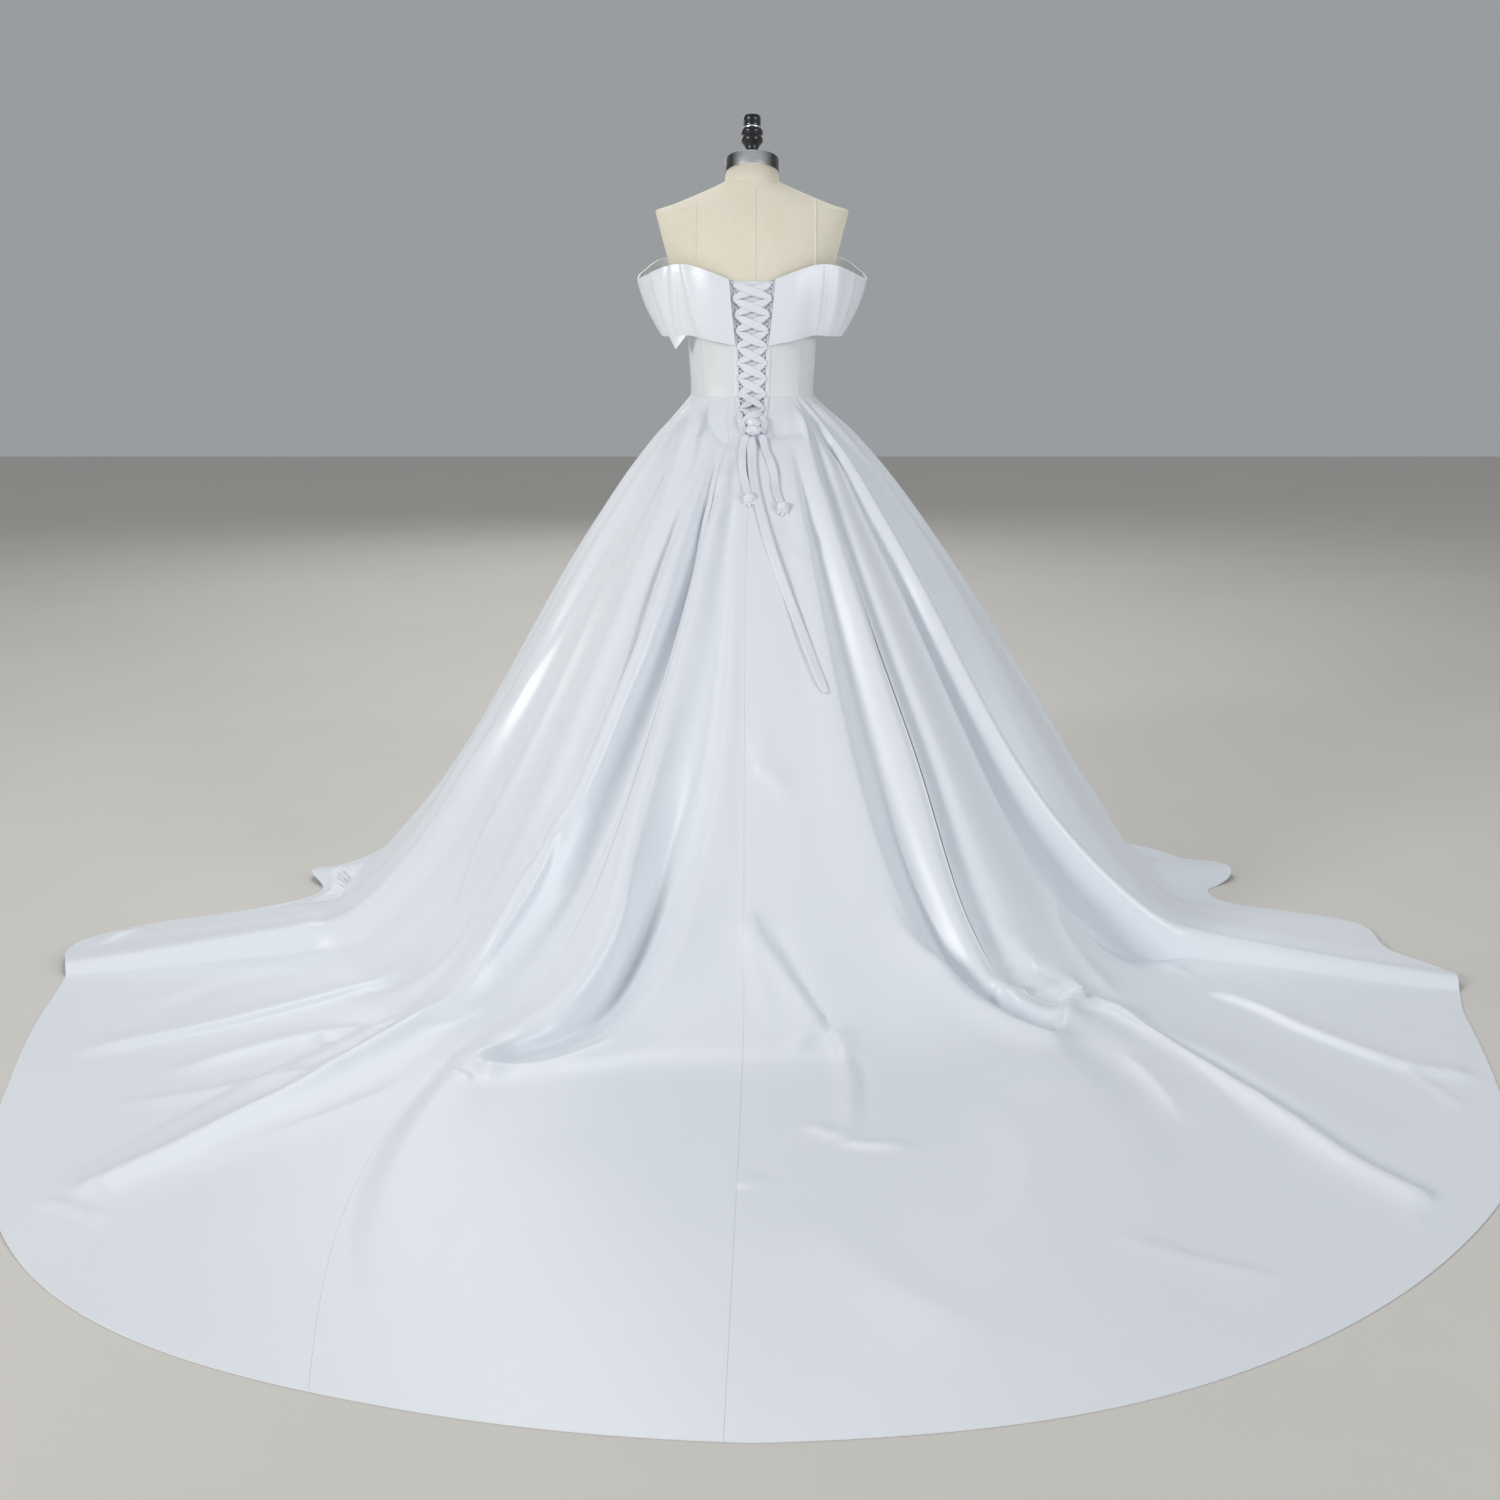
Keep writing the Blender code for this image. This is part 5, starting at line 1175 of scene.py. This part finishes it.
# The knot's strands: width, then distance from the middle, height and lift over the cloth
Strand = namedtuple("Strand", "width spots")
KNOT_STRANDS = (
    Strand(0.0100, ((0.015, 0.972, 0.006), (0.004, 0.980, 0.011), (-0.008, 0.985, 0.011),
                    (-0.019, 0.990, 0.006))),
    Strand(0.0085, ((0.0225, 0.990, 0.005), (0.022, 0.976, 0.007), (0.017, 0.964, 0.007),
                    (0.0125, 0.954, 0.006))),
    Strand(0.0085, ((-0.015, 0.984, 0.006), (-0.022, 0.974, 0.008), (-0.0225, 0.964, 0.008),
                    (-0.019, 0.9545, 0.006))),
    Strand(0.0095, ((0.010, 0.970, 0.008), (0.0, 0.969, 0.013), (-0.011, 0.970, 0.011),
                    (-0.017, 0.976, 0.006))),
)
KNOT_SIZE = (0.030, 0.019, 0.020)


def add_lace_knot():
    parts = [ribbon_lump("lace_knot_ball", KNOT_PLACE, KNOT_SIZE, 0.1, 0.4)]
    for number, strand in enumerate(KNOT_STRANDS):
        x, height, lift = np.array(strand.spots).T
        points = back_point(x, height, 0) + back_normal(x, height) * lift[:, None]
        parts.append(ribbon_tube(f"lace_knot_strand_{number}", path_curve(points, 24), strand.width))
    dress_piece(join_as("lace_knot_ribbon", parts), "ribbon", "lace_knot")


# The form


def add_torso():
    heights = np.r_[np.linspace(TORSO_BOTTOM, SHOULDER_HEIGHT, 60),
                    np.linspace(SHOULDER_HEIGHT + 0.0005, NECK_START, 36)]
    angles = np.linspace(0, 360, TORSO_COLUMNS + 1)
    points = form_point(heights[:, None], angles[None, :])
    limit = ARM_CUT_REACH + ARM_CUT_WIDENING * (heights - ARM_CUT_HEIGHT)
    limit = np.where(heights >= ARM_CUT_HEIGHT, limit, np.inf)[:, None]
    points[..., 0] = np.clip(points[..., 0], -limit, limit)
    turn = np.radians(angles)
    x, y = NECK_RADIUS * np.sin(turn), NECK_RADIUS * np.cos(turn)
    neck = np.stack([x, y * math.cos(NECK_TILT), NECK_HEIGHT + y * math.sin(NECK_TILT)], axis=1)
    points = np.concatenate([points, neck[None]])
    dress_piece(closed_piece("form_torso_linen", points[::-1]), "linen", "form_torso")


# The cover's seams: distance from the middle, and whether each runs down the back or the front
FORM_SEAMS = ((-0.006, True), (0.105, True), (-0.119, True), (0.0, False), (0.110, False), (-0.110, False))
SEAM_FOOT, SEAM_TOP, SEAM_RADIUS, SEAM_LIFT = 1.03, 1.404, 0.0013, 0.0002


def add_form_seams():
    """Raised cord seams of the linen cover, down the back and down the front."""
    seams = []
    for number, (x, back) in enumerate(FORM_SEAMS):
        heights = np.linspace(SEAM_FOOT, SEAM_TOP, 90)
        heights = heights[np.abs(x) < 0.94 * form_sizes(heights)[0]]
        angle = form_angle(heights, x, 0)
        path = form_point(heights, angle if back else 180 - angle, SEAM_LIFT)
        seams.append(tube_piece(f"form_seam_{number}", path, SEAM_RADIUS))
    joined = dress_piece(join_as("form_seams", seams), "linen")
    # The cords take the lighter linen, a painted highlight on them
    joined.data.materials[0] = LOOKS["seam"]


def turned_piece(name, profile, segments):
    """A turned piece: a circle extruded and scaled up its profile, with flat ends."""
    start_clean()
    (radius, height), rest = profile[0], profile[1:]
    bpy.ops.mesh.primitive_circle_add(
        vertices=segments, radius=radius, fill_type="NGON", location=(0, 0, height)
    )
    piece = bpy.context.object
    piece.name = piece.data.name = name
    bpy.ops.object.mode_set(mode="EDIT")
    bpy.ops.mesh.select_all(action="SELECT")
    for next_radius, next_height in rest:
        bpy.ops.mesh.extrude_region_move(TRANSFORM_OT_translate={"value": (0, 0, next_height - height)})
        scale = next_radius / radius
        bpy.ops.transform.resize(value=(scale, scale, 1))
        radius, height = next_radius, next_height
    bpy.ops.mesh.select_all(action="SELECT")
    bpy.ops.mesh.normals_make_consistent(inside=False)
    bpy.ops.object.mode_set(mode="OBJECT")
    return piece


def settle(piece, matrix):
    """Puts a finished piece in its place in its mesh."""
    piece.data.transform(matrix @ piece.matrix_world)
    piece.matrix_world = Matrix.Identity(4)
    piece.data.update()


def add_knob():
    """The neck plate with its rolled lower edge, the ribbed knob on it and the knob's ring."""
    low, high = GAP, GAP + PLATE_THICKNESS
    plate_profile = (
        (PLATE_RADIUS - 0.0010, low - 0.0045), (PLATE_RADIUS, low - 0.0036),
        (PLATE_RADIUS, high - 0.0018), (PLATE_RADIUS - 0.0006, high - 0.0006),
        (PLATE_RADIUS - 0.0020, high), (0.030, high), (0.016, high),
    )
    on_neck = Matrix.Translation((0, 0, NECK_HEIGHT)) @ Matrix.Rotation(NECK_TILT, 4, "X")
    on_plate = on_neck @ Matrix.Translation((0, 0, high))
    for node, slot, profile, segments, place in (
        ("form_neck_plate", "brushed_steel", plate_profile, 96, on_neck),
        ("form_knob", "black_plastic", KNOB_PROFILE, 64, on_plate),
        ("form_knob_ring", "brushed_steel", RING_PROFILE, 64, on_plate),
    ):
        piece = turned_piece(node + "_turned", profile, segments)
        settle(piece, place)
        pick(piece)
        bpy.ops.object.shade_smooth_by_angle(angle=math.radians(TURNED_ANGLE))
        dress_piece(piece, slot, node)


def keep_solids():
    """The hidden pole and base keep their solids, with their finishes."""
    for node, slot in (("form_pole", "brushed_steel"), ("form_base", "painted_iron")):
        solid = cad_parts[node]
        solid.data.materials.clear()
        solid.data.materials.append(LOOKS[slot])


# Room

WALL_COLOUR, WALL_LIGHT = (0.52, 0.54, 0.56, 1), 0.62
Lamp = namedtuple("Lamp", "name place aim size watts colour")
LAMPS = (
    Lamp("key", (5.2, 4.9, 2.9), (0, 0.5, 0.5), 2.2, 225, (1.0, 0.99, 0.97)),
    Lamp("fill", (-5.2, 5.4, 2.6), (0, 0.3, 0.6), 3.2, 160, (0.94, 0.97, 1.0)),
    Lamp("top", (0.4, -1.4, 3.6), (0, 0.3, 0.5), 2.0, 32, (0.94, 0.97, 1.0)),
    Lamp("front", (0.6, -5.0, 3.4), (0, -1.0, 0.4), 4.0, 60, (1.0, 1.0, 1.0)),
)


def add_lamp(lamp):
    bpy.ops.object.light_add(type="AREA", location=lamp.place)
    light = bpy.context.object
    light.name = lamp.name
    light.data.shape = "DISK"
    light.data.size = lamp.size
    light.data.energy = lamp.watts
    light.data.color = lamp.colour
    light.rotation_euler = (Vector(lamp.aim) - Vector(lamp.place)).to_track_quat("-Z", "Y").to_euler()


def add_room():
    start_clean()
    bpy.ops.mesh.primitive_grid_add(x_subdivisions=8, y_subdivisions=8, size=24, location=(0, 0, -0.0005))
    floor = bpy.context.object
    floor.name = "pale_floor"
    floor.data.materials.append(floor_look())
    world = bpy.data.worlds.new("Room")
    bpy.context.scene.world = world
    world.use_nodes = True
    back = world.node_tree.nodes["Background"]
    back.inputs["Color"].default_value = WALL_COLOUR
    back.inputs["Strength"].default_value = WALL_LIGHT
    for lamp in LAMPS:
        add_lamp(lamp)
    bpy.context.scene.view_settings.view_transform = "Standard"


add_tails()
add_lace_knot()
add_skirt()
add_bodice()
add_modesty_panel()
add_band()
add_band_tip()
add_loops()
add_laces()
add_torso()
add_form_seams()
add_knob()
keep_solids()
add_room()
